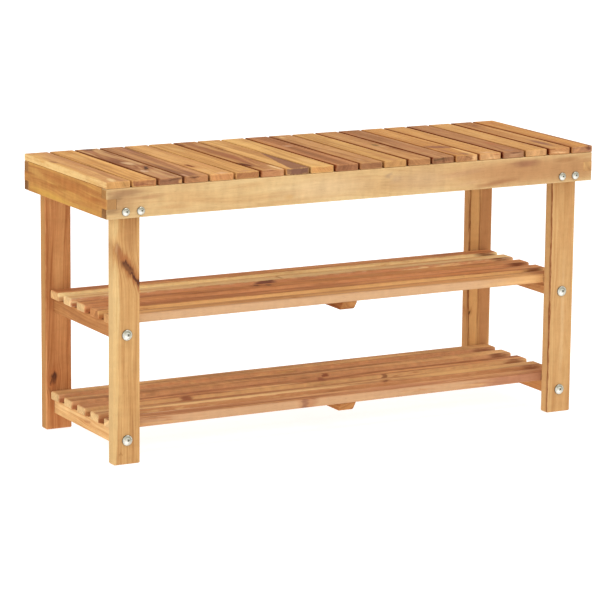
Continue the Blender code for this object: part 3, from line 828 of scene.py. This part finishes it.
# --- aprons ----------------------------------------------------------------
APRONS = {
    "front_apron": dict(
        mid="d7b582", dark="c39a6b", light="dfc595", end="a5743f", end_low="80522c",
        arc=0.35, broad=0.26, medium=0.18, fine=0.18, figure=0.15, pith=(60, 150),
        wavy=0.7, stain=0.09,
        patches=[(-300, 0, 70, 20, 0.0, 0.9, 0.40, "d5ac78"),
                 (-210, 13, 60, 6, 0.03, 0.8, 0.45, "c69e6d"),
                 (-330, -12, 40, 7, 0.0, 0.8, 0.45, "c89c6b"),
                 (-60, 0, 130, 28, 0.0, 0.9, 0.60, "e0c499"),
                 (-430, 4, 50, 26, 0.0, 0.9, 0.85, "b58e65"),
                 (-415, 17, 50, 9, 0.0, 0.8, 0.70, "9e7858"),
                 (-436, 6, 16, 11, 0.4, 0.75, 0.60, "8b6d4e"),
                 (-378, 8, 44, 6, 0.05, 0.9, 0.60, "af835e"),
                 (-442, -12, 24, 9, 0.0, 0.9, 0.65, "947554"),
                 (-128, -10, 12, 6, 0.0, 0.9, 0.45, "d5a76b"),
                 (120, 0, 90, 28, 0.0, 0.9, 0.60, "c8a680"),
                 (55, 12, 10, 7, 0.2, 0.8, 0.60, "a3896f"),
                 (70, 6, 18, 11, 0.2, 0.9, 0.45, "bb9e7e"),
                 (250, 0, 130, 32, 0.0, 0.9, 0.70, "c09266"),
                 (200, 6, 60, 8, 0.08, 0.9, 0.40, "b88f6f"),
                 (205, -12, 34, 5, 0.1, 0.9, 0.50, "cfa980"),
                 (350, 0, 170, 36, 0.0, 0.8, 0.85, "b88a5f"),
                 (318, 13, 40, 9, 0.0, 0.8, 0.75, "97684f"),
                 (262, -15, 60, 6, 0.1, 0.8, 0.60, "a06e4b"),
                 (398, 14, 34, 6, 0.0, 0.8, 0.60, "9f714a"),
                 (430, 0, 60, 36, 0.0, 0.9, 0.65, "b2855b")]),
    "rear_apron": dict(
        mid="d3a16c", dark="a9764c", light="e4bb84", end="8d6036",
        end_low="6c4427", arc=0.5, broad=0.5,
        medium=0.45, pith=(-6, 70),
        patches=[(-300, 4, 90, 7, 0.02, 0.9, 0.5, "a9764f"),
                 (120, -8, 120, 6, -0.02, 0.9, 0.45, "b58355")],
        knots=[(210, 4, 12, 6, 0.1, 0.75, "70432f")]),
    "left_apron": dict(
        mid="c2894e", dark="ad7341", light="d3a559", end="aa8359", arc=0.2, broad=0.36,
        medium=0.22, fine=0.24, pith=(-60, 60), wavy=1.0, stain=0.18, figure=0.18,
        patches=[(-50, -20, 120, 12, -0.02, 0.8, 0.85, "d2a352"),
                 (100, -22, 70, 9, 0.0, 0.8, 0.55, "c9964e"),
                 (-110, 10, 44, 9, -0.06, 0.8, 0.60, "d2a45e"),
                 (10, 10, 110, 13, -0.04, 0.8, 0.70, "b87943"),
                 (-20, 0, 90, 4, 0.04, 0.8, 0.55, "a86939"),
                 (90, -4, 70, 12, 0.0, 0.9, 0.50, "bd7f45"),
                 (120, 2, 40, 6, 0.1, 0.9, 0.50, "ad6737"),
                 (150, 0, 12, 26, 0.0, 0.8, 0.35, "b07143")]),
    "right_apron": dict(
        mid="cc9560", dark="a06c44", light="dfb27a", end="c9a06c", end_low="b48a5d", arc=0.25,
        broad=0.5,
        medium=0.42, pith=(24, 52),
        patches=[(-30, 6, 90, 6, 0.04, 0.9, 0.5, "a8744c")]),
}
apron_z = {n: sum(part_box(n), Vector())[2] / 2 for n in APRONS}
APRON_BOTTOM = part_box("front_apron")[0].z
BOLT_Z = APRON_BOTTOM + 0.0105
shoulder = DEPTH / 2 - APRON_T - GAP
for i, (node, look) in enumerate(APRONS.items()):
    lo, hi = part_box(node)
    kind = "long" if node in ("front_apron", "rear_apron") else "side"
    wood = acacia(node, lo, hi, kind, 201 + i, **look)
    mesh = block(node, lo, hi, 0.0014 if kind == "long" else 0.0007, 3, kind, 61 + i,
                 wander=0.00006)
    zc = (lo.z + hi.z) / 2
    over = 0.004
    cuts = []
    if kind == "long":
        sy = -1 if node.startswith("front") else 1
        for sx in (-1, 1):
            x0, x1 = sx * (LENGTH / 2 - APRON_T - GAP), sx * (LENGTH / 2 + over)
            cuts.append(cuboid((min(x0, x1), lo.y - over, zc - FINGER_H / 2 - 0.0001),
                               (max(x0, x1), hi.y + over, zc + FINGER_H / 2 + 0.0001)))
            for d in (0.0330, 0.0590):
                x = sx * (LENGTH / 2 - d)
                cuts.append(hole_y(x, sy * (DEPTH / 2 + over), sy * (LEG_FRONT - 0.002),
                                   BOLT_Z, 0.0034))
    else:
        for sy in (-1, 1):
            for sz in (-1, 1):
                y0, y1 = sy * shoulder, sy * (DEPTH / 2 + over)
                z0, z1 = zc + sz * FINGER_H / 2, zc + sz * (APRON_H / 2 + over)
                cuts.append(cuboid((lo.x - over, min(y0, y1), min(z0, z1)),
                                   (hi.x + over, max(y0, y1), max(z0, z1))))
    ob = link(node + "_board", carve(mesh, cuts), wood, "aprons", node)
    finish_shading(ob, 35.0)

# --- legs ------------------------------------------------------------------
# L runs up from the middle of the leg, 0.22435 above the floor
LEGS = {
    "front_left_leg": dict(
        mid="c99963", dark="a7774b", light="d4ab74", end="b98854", broad=0.32,
        medium=0.36, fine=0.46, pith=(62, 12), wavy=0.8, stain=0.08,
        patches=[(150, 6, 60, 16, 0.0, 0.9, 0.55, "b68657"),
                 (205, -20.5, 80, 10.0, 0.0, 0.35, 0.88, "e2c28a"),
                 (10, -22, 110, 11.5, 0.03, 0.35, 0.90, "e2c28a"),
                 (-130, -22, 150, 9.0, 0.02, 0.35, 0.88, "e0bd84"),
                 (0, -17, 300, 1.4, 0.0, 0.8, 0.45, "cda164"),
                 (0, -23.4, 600, 4.0, 0.0, 0.5, 0.60, "d6b27c", 3.0, 14.0),
                 (-60, 16, 140, 3, 0.0, 0.8, 0.45, "b68857"),
                 (116, -12, 24, 8, -0.25, 0.7, 0.80, "977757"),
                 (124, -17, 10, 4, 0.0, 0.7, 0.60, "d6b88c"),
                 (100, 2, 40, 12, -0.64, 0.8, 0.85, "a2603f"),
                 (78, 12, 32, 10, -0.70, 0.8, 0.80, "8e563e"),
                 (-207, -10, 3, 6, 0.0, 0.8, 0.55, "9f7141")],
        knots=[(93, 4, 22, 8.0, -0.68, 0.94, "472c2a"),
               (74, 17, 17, 5.0, -0.80, 0.85, "502f2b")]),
    "front_right_leg": dict(
        mid="cb9d69", dark="b07f4f", light="d9b27c", end="b98854", broad=0.26,
        medium=0.24, fine=0.34, pith=(4, 34), wavy=0.5, stain=0.07,
        patches=[(110, 2, 100, 2.0, 0.02, 0.9, 0.45, "b68755"),
                 (-60, 3, 150, 6, 0.0, 0.9, 0.60, "dcb887"),
                 (120, 14, 120, 6, 0.0, 0.9, 0.35, "c48f5e"),
                 (0, -22.6, 600, 1.7, 0.0, 0.5, 0.92, "844829", -8.8, 2.2),
                 (0, -23.2, 600, 4.0, 0.0, 0.3, 0.85, "dcb27a", 3.0, 9.5)]),
    "rear_left_leg": dict(
        mid="d89964", dark="b9794a", light="e8b378", end="a5693f", broad=0.34,
        medium=0.30, fine=0.34, pith=(-50, 30), wavy=0.8,
        patches=[(0, -23.2, 600, 4.5, 0.0, 0.4, 0.90, "be8e58", 3.0, 14.0),
                 (-135, -9, 40, 6, 0.02, 0.9, 0.55, "a6653f"),
                 (-205, 0, 40, 26, 0.0, 0.9, 0.45, "b97246"),
                 (110, 2, 90, 16, 0.0, 0.9, 0.35, "cc8856"),
                 (-40, 10, 70, 10, 0.0, 0.9, 0.40, "e1a66d")],
        knots=[(-136, -9, 13, 7.5, 0.1, 0.92, "54342a"),
               (-146, -14, 6, 3.0, 0.3, 0.70, "5e3a2c")]),
    "rear_right_leg": dict(
        mid="c8955f", dark="a47247", light="daae75", end="a5693f", broad=0.34,
        medium=0.36, fine=0.36, pith=(-12, 60), wavy=0.6,
        patches=[(0, -12.5, 260, 9.5, 0.0, 0.20, 0.90, "e1b073"),
                 (0, 11, 260, 14, 0.0, 0.30, 0.85, "bd8759"),
                 (0, -2.0, 260, 1.4, 0.0, 0.7, 0.75, "9d6841"),
                 (0, -21.8, 260, 1.4, 0.0, 0.6, 0.80, "835131"),
                 (0, -23.2, 600, 4.0, 0.0, 0.4, 0.85, "d29f69", 3.0, 12.0)],
        knots=[(-98, -20, 5, 3.2, 0.1, 0.85, "462a20")]),
}
for i, (node, look) in enumerate(LEGS.items()):
    lo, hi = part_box(node)
    wood = acacia(node, lo, hi, "leg", 301 + i, **look)
    mesh = block(node, lo, hi, 0.0024, 4, "leg", 81 + i, wander=0.00010)
    sy = -1 if node.startswith("front") else 1
    sx = -1 if "left" in node else 1
    cuts = []
    for d in (0.0330, 0.0590):
        x = sx * (LENGTH / 2 - d)
        cuts.append(hole_y(x, sy * (LEG_FRONT + 0.003), sy * (LEG_FRONT - GAP - 0.0123),
                           BOLT_Z, 0.0051))
    xc = (lo.x + hi.x) / 2
    for z in SHELF_BOLT_Z.values():
        cuts.append(hole_y(xc, sy * (LEG_FRONT + 0.004), sy * (LEG_BACK - 0.004), z, 0.0034))
    ob = link(node + "_board", carve(mesh, cuts), wood, "legs", node)
    finish_shading(ob, 50.0)

# --- shelf slats: 1 at the rear, 5 at the front ----------------------------
SHELF = {
    "upper": [
        dict(mid="ca8d5e", dark="a46b46", light="e3af75", end="d9b07a", pith=(-30, 30),
             patches=[(-250, 2, 120, 8, 0.0, 0.8, 0.45, "b97c55"),
                      (120, 2, 200, 9, 0.0, 0.9, 0.50, "daa16d"),
                      (330, 8, 60, 8, 0.0, 0.8, 0.55, "975e39"),
                      (0, -15.4, 900, 2.4, 0.0, 0.4, 0.92, "f5dea5"),
                      # painted shadow where the rail below keeps the light out of the gap
                      (397, -14.5, 30, 5.5, 0.0, 0.8, 0.85, "74402a")]),
        dict(mid="f2d49b", dark="dbac75", light="f6dca6", end="dfb986", pith=(30, 24),
             patches=[(-100, 0, 200, 12, 0.0, 0.9, 0.45, "f5daa4"),
                      (-34, 0, 5, 20, 0.30, 0.7, 0.80, "c0905f"),
                      (300, 6, 120, 6, 0.0, 0.8, 0.55, "e0a974"),
                      (0, -15.4, 900, 2.2, 0.0, 0.4, 0.92, "d1966c"),
                      (-66, -16, 28, 3.0, 0.0, 0.5, 0.90, "755047"),
                      # painted shadow where the rail below keeps the light out of the gap
                      (397, -14.5, 30, 5.5, 0.0, 0.8, 0.85, "74402a")]),
        dict(mid="d39867", dark="ae744c", light="edb775", pith=(-20, 40),
             patches=[(-330, 4, 80, 9, 0.0, 0.8, 0.45, "c6875f"),
                      (180, 0, 220, 12, 0.0, 0.9, 0.60, "e7b278"),
                      (300, -6, 110, 6, 0.0, 0.9, 0.50, "f6c07a"),
                      (0, -15.4, 900, 2.0, 0.0, 0.4, 0.75, "d3996b"),
                      # painted shadow where the rail below keeps the light out of the gap
                      (397, -14.5, 30, 5.5, 0.0, 0.8, 0.85, "6d3a26")],
             knots=[(-100, 4, 9, 8, 0.0, 0.75, "644f45"),
                    (-78, 0, 6, 9, 0.1, 0.65, "644f45")]),
        dict(mid="cd9264", dark="a56e47", light="e4ad74", end="b27a4c", pith=(26, 32),
             patches=[(-330, 2, 90, 8, 0.0, 0.8, 0.50, "ba7c53"),
                      (-60, 4, 120, 5, 0.0, 0.8, 0.50, "ba8058"),
                      (240, 0, 160, 14, 0.0, 0.9, 0.60, "e09961"),
                      (0, -15.4, 900, 2.2, 0.0, 0.4, 0.92, "ddaf73"),
                      (0, -12.6, 900, 0.9, 0.0, 0.6, 0.75, "9f6539"),
                      # painted shadow where the rail below keeps the light out of the gap
                      (397, -14.5, 30, 5.5, 0.0, 0.8, 0.85, "6d3a26")]),
        dict(mid="cc9c68", dark="a6754c", light="dfb47b", end="c2905e", pith=(-24, 34),
             patches=[(-200, 3, 160, 9, 0.0, 0.8, 0.45, "bd8e5d"),
                      (200, 2, 200, 12, 0.0, 0.9, 0.55, "d59862"),
                      (-60, -15.6, 460, 6.0, 0.0, 0.4, 0.92, "c09c79"),
                      # the next two: painted shadow of the front right leg at the right end
                      (395, 0, 45, 22, 0.0, 0.8, 0.65, "ae6a3e"),
                      (410, -15, 18, 9, 0.0, 0.8, 0.80, "8c3f20")],
             knots=[(-88, -6, 7, 5, 0.0, 0.5, "a37344")]),
    ],
    "lower": [
        dict(mid="cda16d", dark="a8774f", light="e2ba86", pith=(20, 30), figure=0.24,
             patches=[(-100, -8, 160, 5, 0.0, 0.8, 0.45, "bd9168"),
                      (0, -15.4, 900, 2.2, 0.0, 0.4, 0.85, "c7936b"),
                      # painted shadow where the rail below keeps the light out of the gap
                      (397, -14.5, 30, 5.5, 0.0, 0.8, 0.70, "7c4c34")]),
        dict(mid="c49364", dark="9c6c49", light="dcb47f", pith=(-30, 26), figure=0.26,
             patches=[(-250, 6, 160, 7, 0.0, 0.9, 0.50, "b4825b"),
                      (100, -6, 220, 6, 0.02, 0.8, 0.65, "dcb481"),
                      (20, 8, 200, 5, 0.0, 0.9, 0.45, "a87552"),
                      (0, -15.4, 900, 2.2, 0.0, 0.4, 0.90, "c7966b"),
                      (50, -16, 10, 4, 0.0, 0.6, 0.85, "864f3b"),
                      # painted shadow where the rail below keeps the light out of the gap
                      (397, -14.5, 30, 5.5, 0.0, 0.8, 0.80, "70402c")]),
        dict(mid="bd865e", dark="976645", light="dbad76", pith=(24, 36), figure=0.20,
             patches=[(-90, -9, 100, 6, 0.01, 0.6, 0.85, "e7c48d"),
                      (22, 0, 8, 20, 0.2, 0.6, 0.85, "935d43"),
                      (200, -4, 170, 9, 0.0, 0.8, 0.80, "dbad76"),
                      (-240, 4, 120, 9, 0.0, 0.8, 0.40, "a97252"),
                      (0, -15.4, 900, 2.2, 0.0, 0.4, 0.90, "d0a673"),
                      (-240, -16, 16, 5, 0.0, 0.6, 0.85, "89523e"),
                      (135, -16, 9, 4, 0.0, 0.6, 0.75, "714233"),
                      # painted shadow where the rail below keeps the light out of the gap
                      (397, -14.5, 30, 5.5, 0.0, 0.8, 0.80, "70402c")]),
        dict(mid="c19164", dark="956746", light="debe86", pith=(-20, 28),
             patches=[(-150, -8, 260, 8, -0.005, 0.45, 0.90, "e3c48e"),
                      (-200, 9, 260, 6, -0.01, 0.7, 0.75, "a6714e"),
                      (280, 0, 150, 17, 0.0, 0.6, 0.80, "dab47b"),
                      (0, -15.6, 900, 2.0, 0.0, 0.4, 0.90, "b48057"),
                      # painted shadow where the rail below keeps the light out of the gap
                      (397, -14.5, 30, 5.5, 0.0, 0.8, 0.70, "7c4c34")],
             knots=[(113, -8, 9, 6, 0.6, 0.80, "744b39"),
                    (-246, 13, 7, 4, 0.0, 0.60, "84533d")]),
        dict(mid="b7835c", dark="916345", light="d0a675", pith=(22, 34),
             patches=[(-260, 2, 200, 9, 0.01, 0.8, 0.60, "a16e4b"),
                      (-300, 13, 120, 4, 0.0, 0.6, 0.80, "d8b690"),
                      (-150, -9, 200, 4, 0.0, 0.8, 0.55, "cca06a"),
                      (120, 0, 180, 12, 0.0, 0.9, 0.55, "c5926e"),
                      (230, -4, 80, 5, 0.1, 0.8, 0.55, "d6aa7b"),
                      (-40, -15.4, 420, 2.6, 0.0, 0.4, 0.85, "bc9774"),
                      (360, -15.4, 120, 2.6, 0.0, 0.5, 0.80, "a26f56"),
                      # painted shadow of the front right leg at the right end
                      (395, 0, 45, 22, 0.0, 0.8, 0.50, "a66a47")],
             knots=[(-72, -15, 8, 4, 0.0, 0.6, "794d43"),
                    (-58, -13, 6, 3, 0.0, 0.6, "86503b")]),
    ],
}
SHELF_PAINTED_LIGHT = 1.22              # painted light: the shelves are brightened to make up for the shade under the seat
n_seed = 0
for level, looks in SHELF.items():
    for n, look in enumerate(looks, start=1):
        node = f"{level}_shelf_slat_{n}"
        lo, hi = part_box(node)
        n_seed += 1
        # painted light over the whole shelf board, and painted shade low on its sides inside the gaps
        look = dict(dict(broad=0.34, medium=0.30, fine=0.34, end="dcb985", wavy=0.7,
                         lift=SHELF_PAINTED_LIGHT, gap_shade_from=3.0,
                         painted_gap_shade=(0.62 if n < 5 else 0.0, 0.30 if n > 1 else 0.0)), **look)
        wood = acacia(node, lo, hi, "shelf", 401 + n_seed, **look)
        mesh = block(node, lo, hi, 0.0030, 4, "shelf", 101 + n_seed,
                     wander=0.00016, pace=0.035)
        ob = link(node + "_board", mesh, wood, "shelf_slats", node)
        finish_shading(ob, 60.0)

# --- shelf rails and battens -----------------------------------------------
RAILS = {
    "upper_shelf_left_rail": dict(mid="b67e4e", dark="a06b42", light="c48e5a", lift=1.1,
                                  broad=0.22, medium=0.20, end="b98a5a", pith=(30, 20)),
    "lower_shelf_left_rail": dict(mid="dba970", dark="bd8450", light="ebc48c", lift=1.1,
                                  end="b98a5a", pith=(-36, 20),
                                  knots=[(10, 2, 16, 3.5, 0.1, 0.5, "a86c44")]),
    "upper_shelf_right_rail": dict(mid="c99060", dark="a87044", light="dcae74", lift=1.1,
                                   end="b98a5a", pith=(28, 26)),
    "lower_shelf_right_rail": dict(mid="c08254", dark="9c623c", light="cf9860", lift=1.1,
                                   end="b98a5a", pith=(-26, 24)),
}
for i, (node, look) in enumerate(RAILS.items()):
    lo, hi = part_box(node)
    wood = acacia(node, lo, hi, "side", 501 + i, **look)
    mesh = block(node, lo, hi, 0.0014, 3, "side", 141 + i, wander=0.00010)
    z = SHELF_BOLT_Z[node.split("_")[0]]
    xc = (lo.x + hi.x) / 2
    cuts = []
    for sy in (-1, 1):
        end = hi.y if sy > 0 else lo.y
        y_nut = end - sy * 0.0260
        cuts.append(hole_y(xc, end + sy * 0.004, y_nut - sy * 0.009, z, 0.0034))
        deep = RAIL_H / 2 + 0.0053
        cuts.append(cylinder(0.0053, deep + 0.004, Matrix.Translation(
            (xc, y_nut, z + 0.0053 - (deep + 0.004) / 2))))
    ob = link(node + "_board", carve(mesh, cuts), wood, "shelf_rails", node)
    finish_shading(ob, 35.0)

BATTENS = {
    "upper_shelf_batten": dict(mid="bf8452", dark="9a6038", light="d9a366",
                               end="b27c4c", pith=(24, 24)),
    "lower_shelf_batten": dict(mid="b87c4e", dark="955a36", light="d09a60",
                               end="ab7446", pith=(-22, 28)),
}
for i, (node, look) in enumerate(BATTENS.items()):
    lo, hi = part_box(node)
    wood = acacia(node, lo, hi, "batten", 521 + i, **look)
    mesh = block(node, lo, hi, 0.0022, 4, "batten", 151 + i, wander=0.00010,
                 pace=0.016)
    # the ends are cut back towards the bottom
    yc, zt, h = (lo.y + hi.y) / 2, hi.z, hi.z - lo.z
    for v in mesh.vertices:
        down = (zt - v.co.z) / h
        past = max(0.0, abs(v.co.y - yc) - 0.080) / (0.118 - 0.080)
        v.co.y -= math.copysign(0.0120 * down * past, v.co.y - yc)
    ob = link(node + "_board", mesh, wood, "shelf_rails", node)
    finish_shading(ob, 60.0)

# --------------------------------------------------------------------------
# Bolts
# --------------------------------------------------------------------------


def steel(name, axis_at, seed, head_r):
    """Bright zinc: turned rings and a few scuffs, with a painted highlight low on the left and painted
    shade beside the socket, in a crescent and along the rim.
    """
    mat = bpy.data.materials.new(name)
    mat.use_nodes = True
    t = mat.node_tree
    t.nodes.clear()
    out = t.nodes.new("ShaderNodeOutputMaterial")
    bsdf = t.nodes.new("ShaderNodeBsdfPrincipled")
    t.links.new(bsdf.outputs[0], out.inputs[0])
    coord = t.nodes.new("ShaderNodeTexCoord")
    p = vec(t, "SUBTRACT", coord.outputs["Object"], tuple(axis_at))
    p = vec(t, "SCALE", p, 1000.0)
    x, y, z = split(t, p)
    r = ((x * x) + (z * z)).pow(0.5)
    rnd = random.Random(seed)
    off = tuple(rnd.uniform(-50, 50) for _ in range(3))
    lathe = noise(t, combine(t, r * 2.6 + off[0], y * 0.8, 0.0), 3.0, 0.6)
    blot = noise(t, vec(t, "ADD", p, off), 3.0, 0.6, scale=0.55)
    scuff = noise(t, vec(t, "MULTIPLY", vec(t, "ADD", p, off), (2.5, 1.0, 0.35)),
                  2.0, 0.6)
    k = 1.0 / (head_r * 1000.0)
    u, w = x * k, z * k                       # -1 to 1 across the head
    rim = r.step(head_r * 1000.0 - 1.0, head_r * 1000.0 + 0.1, 0.0, 1.0)
    base = mix(t, blot.step(0.3, 0.7), (0.42, 0.40, 0.33, 1.0), (0.66, 0.64, 0.56, 1.0))

    def spot(cx, cz, inner, outer):
        a, b = u - cx, w - cz
        return ((a * a) + (b * b)).pow(0.5).step(outer, inner, 0.0, 1.0)

    # painted highlight low on the left of the head
    base = mix(t, spot(-0.26, -0.36, 0.05, 0.62) * 0.80, base, (0.92, 0.91, 0.85, 1.0))
    # painted shade: a dark crescent over the upper right of the head
    painted_shade_ring = (r * k).step(0.40, 0.55, 0.0, 1.0) * (r * k).step(0.85, 0.68, 0.0, 1.0)
    shade = (w * 0.75 + u * 0.65 + (blot - 0.5) * 0.9).step(-0.15, 0.75, 0.0, 0.85)
    base = mix(t, painted_shade_ring * shade, base, (0.20, 0.20, 0.13, 1.0))
    # painted shade in the upper left of the head
    base = mix(t, spot(-0.55, 0.60, 0.10, 0.55) * 0.55, base, (0.30, 0.29, 0.20, 1.0))
    # painted shade beside the socket, right of the centre
    base = mix(t, spot(0.20, 0.05, 0.06, 0.36) * 0.85, base, (0.10, 0.10, 0.07, 1.0))
    # painted shade along the rim, on the lower right and upper left
    painted_rim_shade = (w * -0.5 + u * 0.8).abs().step(0.1, 0.8, 0.60, 1.0)
    base = mix(t, rim * painted_rim_shade, base, (0.13, 0.10, 0.07, 1.0))
    t.links.new(base, bsdf.inputs["Base Color"])
    bsdf.inputs["Metallic"].default_value = 1.0
    rough = ((lathe - 0.5) * 0.22) + ((blot - 0.5) * 0.18) + scuff.step(0.6, 0.75, 0.0, 0.16) + 0.23
    t.links.new(rough.s, bsdf.inputs["Roughness"])
    bump = t.nodes.new("ShaderNodeBump")
    bump.inputs["Strength"].default_value = 0.35
    bump.inputs["Distance"].default_value = 0.00008
    t.links.new((lathe + scuff * 0.4).s, bump.inputs["Height"])
    t.links.new(bump.outputs[0], bsdf.inputs["Normal"])
    return mat


def turned(profile, steps=64):
    """A closed solid from (radius, height) points that run from the axis at
    the top, down the outside, back to the axis."""
    bm = bmesh.new()
    rings = []
    for r, z in profile:
        if r < 1e-7:
            rings.append([bm.verts.new((0.0, 0.0, z))])
        else:
            rings.append([bm.verts.new((r * math.cos(2 * math.pi * k / steps),
                                        r * math.sin(2 * math.pi * k / steps), z))
                          for k in range(steps)])
    for a, b in zip(rings, rings[1:]):
        for k in range(steps):
            j = (k + 1) % steps
            if len(a) == 1:
                bm.faces.new((a[0], b[k], b[j]))
            elif len(b) == 1:
                bm.faces.new((a[k], b[0], a[j]))
            else:
                bm.faces.new((a[k], b[k], b[j], a[j]))
    bmesh.ops.recalc_face_normals(bm, faces=bm.faces[:])
    mesh = bpy.data.meshes.new("turned")
    bm.to_mesh(mesh)
    bm.free()
    return mesh


def bolt_mesh(head_r, head_h, shank, seed):
    rim = 0.0008
    prof = [(0.0, head_h)]
    for k in range(1, 15):
        a = k / 14 * math.radians(86.0)
        prof.append((head_r * math.sin(a) / math.sin(math.radians(86.0)) * 0.995,
                     rim + (head_h - rim) * math.cos(a) ** 0.92))
    prof += [(head_r, rim * 0.75), (head_r, 0.0002), (head_r - 0.0003, 0.0),
             (0.0031, 0.0), (0.0030, -0.0004)]
    # rolled thread from halfway down the shank
    start = shank * 0.45
    prof.append((0.0030, -start))
    z, n = -start, 0
    while z > -(shank - 0.0016):
        prof.append((0.0030, z - 0.0002))
        prof.append((0.00265, z - 0.0005))
        prof.append((0.00265, z - 0.0006))
        prof.append((0.0030, z - 0.0009))
        z -= 0.0010
        n += 1
    prof += [(0.0024, -shank + 0.0002), (0.0022, -shank), (0.0, -shank)]
    mesh = turned(prof)
    # hexagon socket with a small lead-in
    r = 0.00235
    turn = Matrix.Rotation(math.radians(seed * 17 % 60), 4, "Z")
    key = cylinder(r, 0.0026, Matrix.Translation((0, 0, head_h - 0.0001)) @ turn, sides=6)
    bm = bmesh.new()
    bmesh.ops.create_cone(bm, cap_ends=True, segments=48, radius1=r * 0.80,
                          radius2=r * 1.30, depth=0.0010,
                          matrix=Matrix.Translation((0, 0, head_h - 0.0001)))
    lead = bpy.data.meshes.new("lead_in")
    bm.to_mesh(lead)
    bm.free()
    return carve(mesh, [key, lead])


def add_bolt(tag, x, y, z, sy, head_r, shank, seed, scale_h=1.0):
    mesh = bolt_mesh(head_r, 0.0030 * scale_h, shank, seed)
    rot = Matrix.Rotation(math.radians(90.0 if sy < 0 else -90.0), 4, "X")
    mesh.transform(Matrix.Translation((x, y, z)) @ rot)
    mat = steel(f"zinc_{tag}", Vector((x, y, z)), seed, head_r)
    ob = link(tag + "_turned", mesh, mat, "bolts", tag)
    finish_shading(ob, 32.0)
    return mat


seed = 0
for sy, face in ((-1, "front"), (1, "rear")):
    for sx, side in ((-1, "left"), (1, "right")):
        for n, d in enumerate((0.0330, 0.0590), start=1):
            seed += 1
            add_bolt(f"{face}_{side}_apron_bolt_{n}", sx * (LENGTH / 2 - d),
                     sy * (DEPTH / 2 + GAP), BOLT_Z, sy, 0.0068,
                     APRON_T + LEG_T - 0.0035, seed)
        for level, z in SHELF_BOLT_Z.items():
            seed += 1
            tag = f"{face}_{side}_{level}_shelf_bolt"
            x = sx * 0.407
            shank = LEG_T + GAP + 0.0260 + 0.0080
            mat = add_bolt(tag, x, sy * (LEG_FRONT + GAP), z, sy, 0.0088, shank, seed)
            # barrel nut, pushed in from under the rail
            y_nut = sy * (LEG_BACK - GAP - 0.0260)
            low, top = z - RAIL_H / 2 + 0.0004, z + 0.0048
            prof = [(0.0, top), (0.0046, top), (0.0050, top - 0.0004),
                    (0.0050, low + 0.0004), (0.0046, low), (0.0, low)]
            nut = turned(prof, 48)
            nut.transform(Matrix.Translation((x, y_nut, 0.0)))
            slot_cut = cuboid((x - 0.0006, y_nut - 0.006, low - 0.002),
                              (x + 0.0006, y_nut + 0.006, low + 0.0010))
            bore = hole_y(x, y_nut - 0.008, y_nut + 0.008, z, 0.0031)
            ob = link(f"{tag}_barrel_nut", carve(nut, [slot_cut, bore]), mat, "bolts", tag)
            finish_shading(ob, 32.0)

# --------------------------------------------------------------------------
# Floor
# --------------------------------------------------------------------------
bm = bmesh.new()
bmesh.ops.create_grid(bm, x_segments=24, y_segments=24, size=30.0,
                      matrix=Matrix.Translation((0.0, 0.0, -0.0004)))
floor_mesh = bpy.data.meshes.new("floor")
bm.to_mesh(floor_mesh)
bm.free()
floor = bpy.data.objects.new("floor", floor_mesh)
scene.collection.objects.link(floor)
fm = bpy.data.materials.new("pale_floor")
fm.use_nodes = True
ft = fm.node_tree
fb = next(n for n in ft.nodes if n.type == "BSDF_PRINCIPLED")
fc = ft.nodes.new("ShaderNodeTexCoord")
fn = noise(ft, fc.outputs["Object"], 3.0, 0.5, scale=2.0)
ft.links.new(mix(ft, fn, (0.44, 0.44, 0.446, 1.0), (0.47, 0.47, 0.476, 1.0)),
             fb.inputs["Base Color"])
fb.inputs["Roughness"].default_value = 0.9
fb.inputs["Specular IOR Level"].default_value = 0.1
fb.inputs["Emission Color"].default_value = (1.0, 1.0, 1.0, 1.0)
fb.inputs["Emission Strength"].default_value = 0.82
floor.data.materials.append(fm)
floor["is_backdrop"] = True

# --------------------------------------------------------------------------
lo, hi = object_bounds()
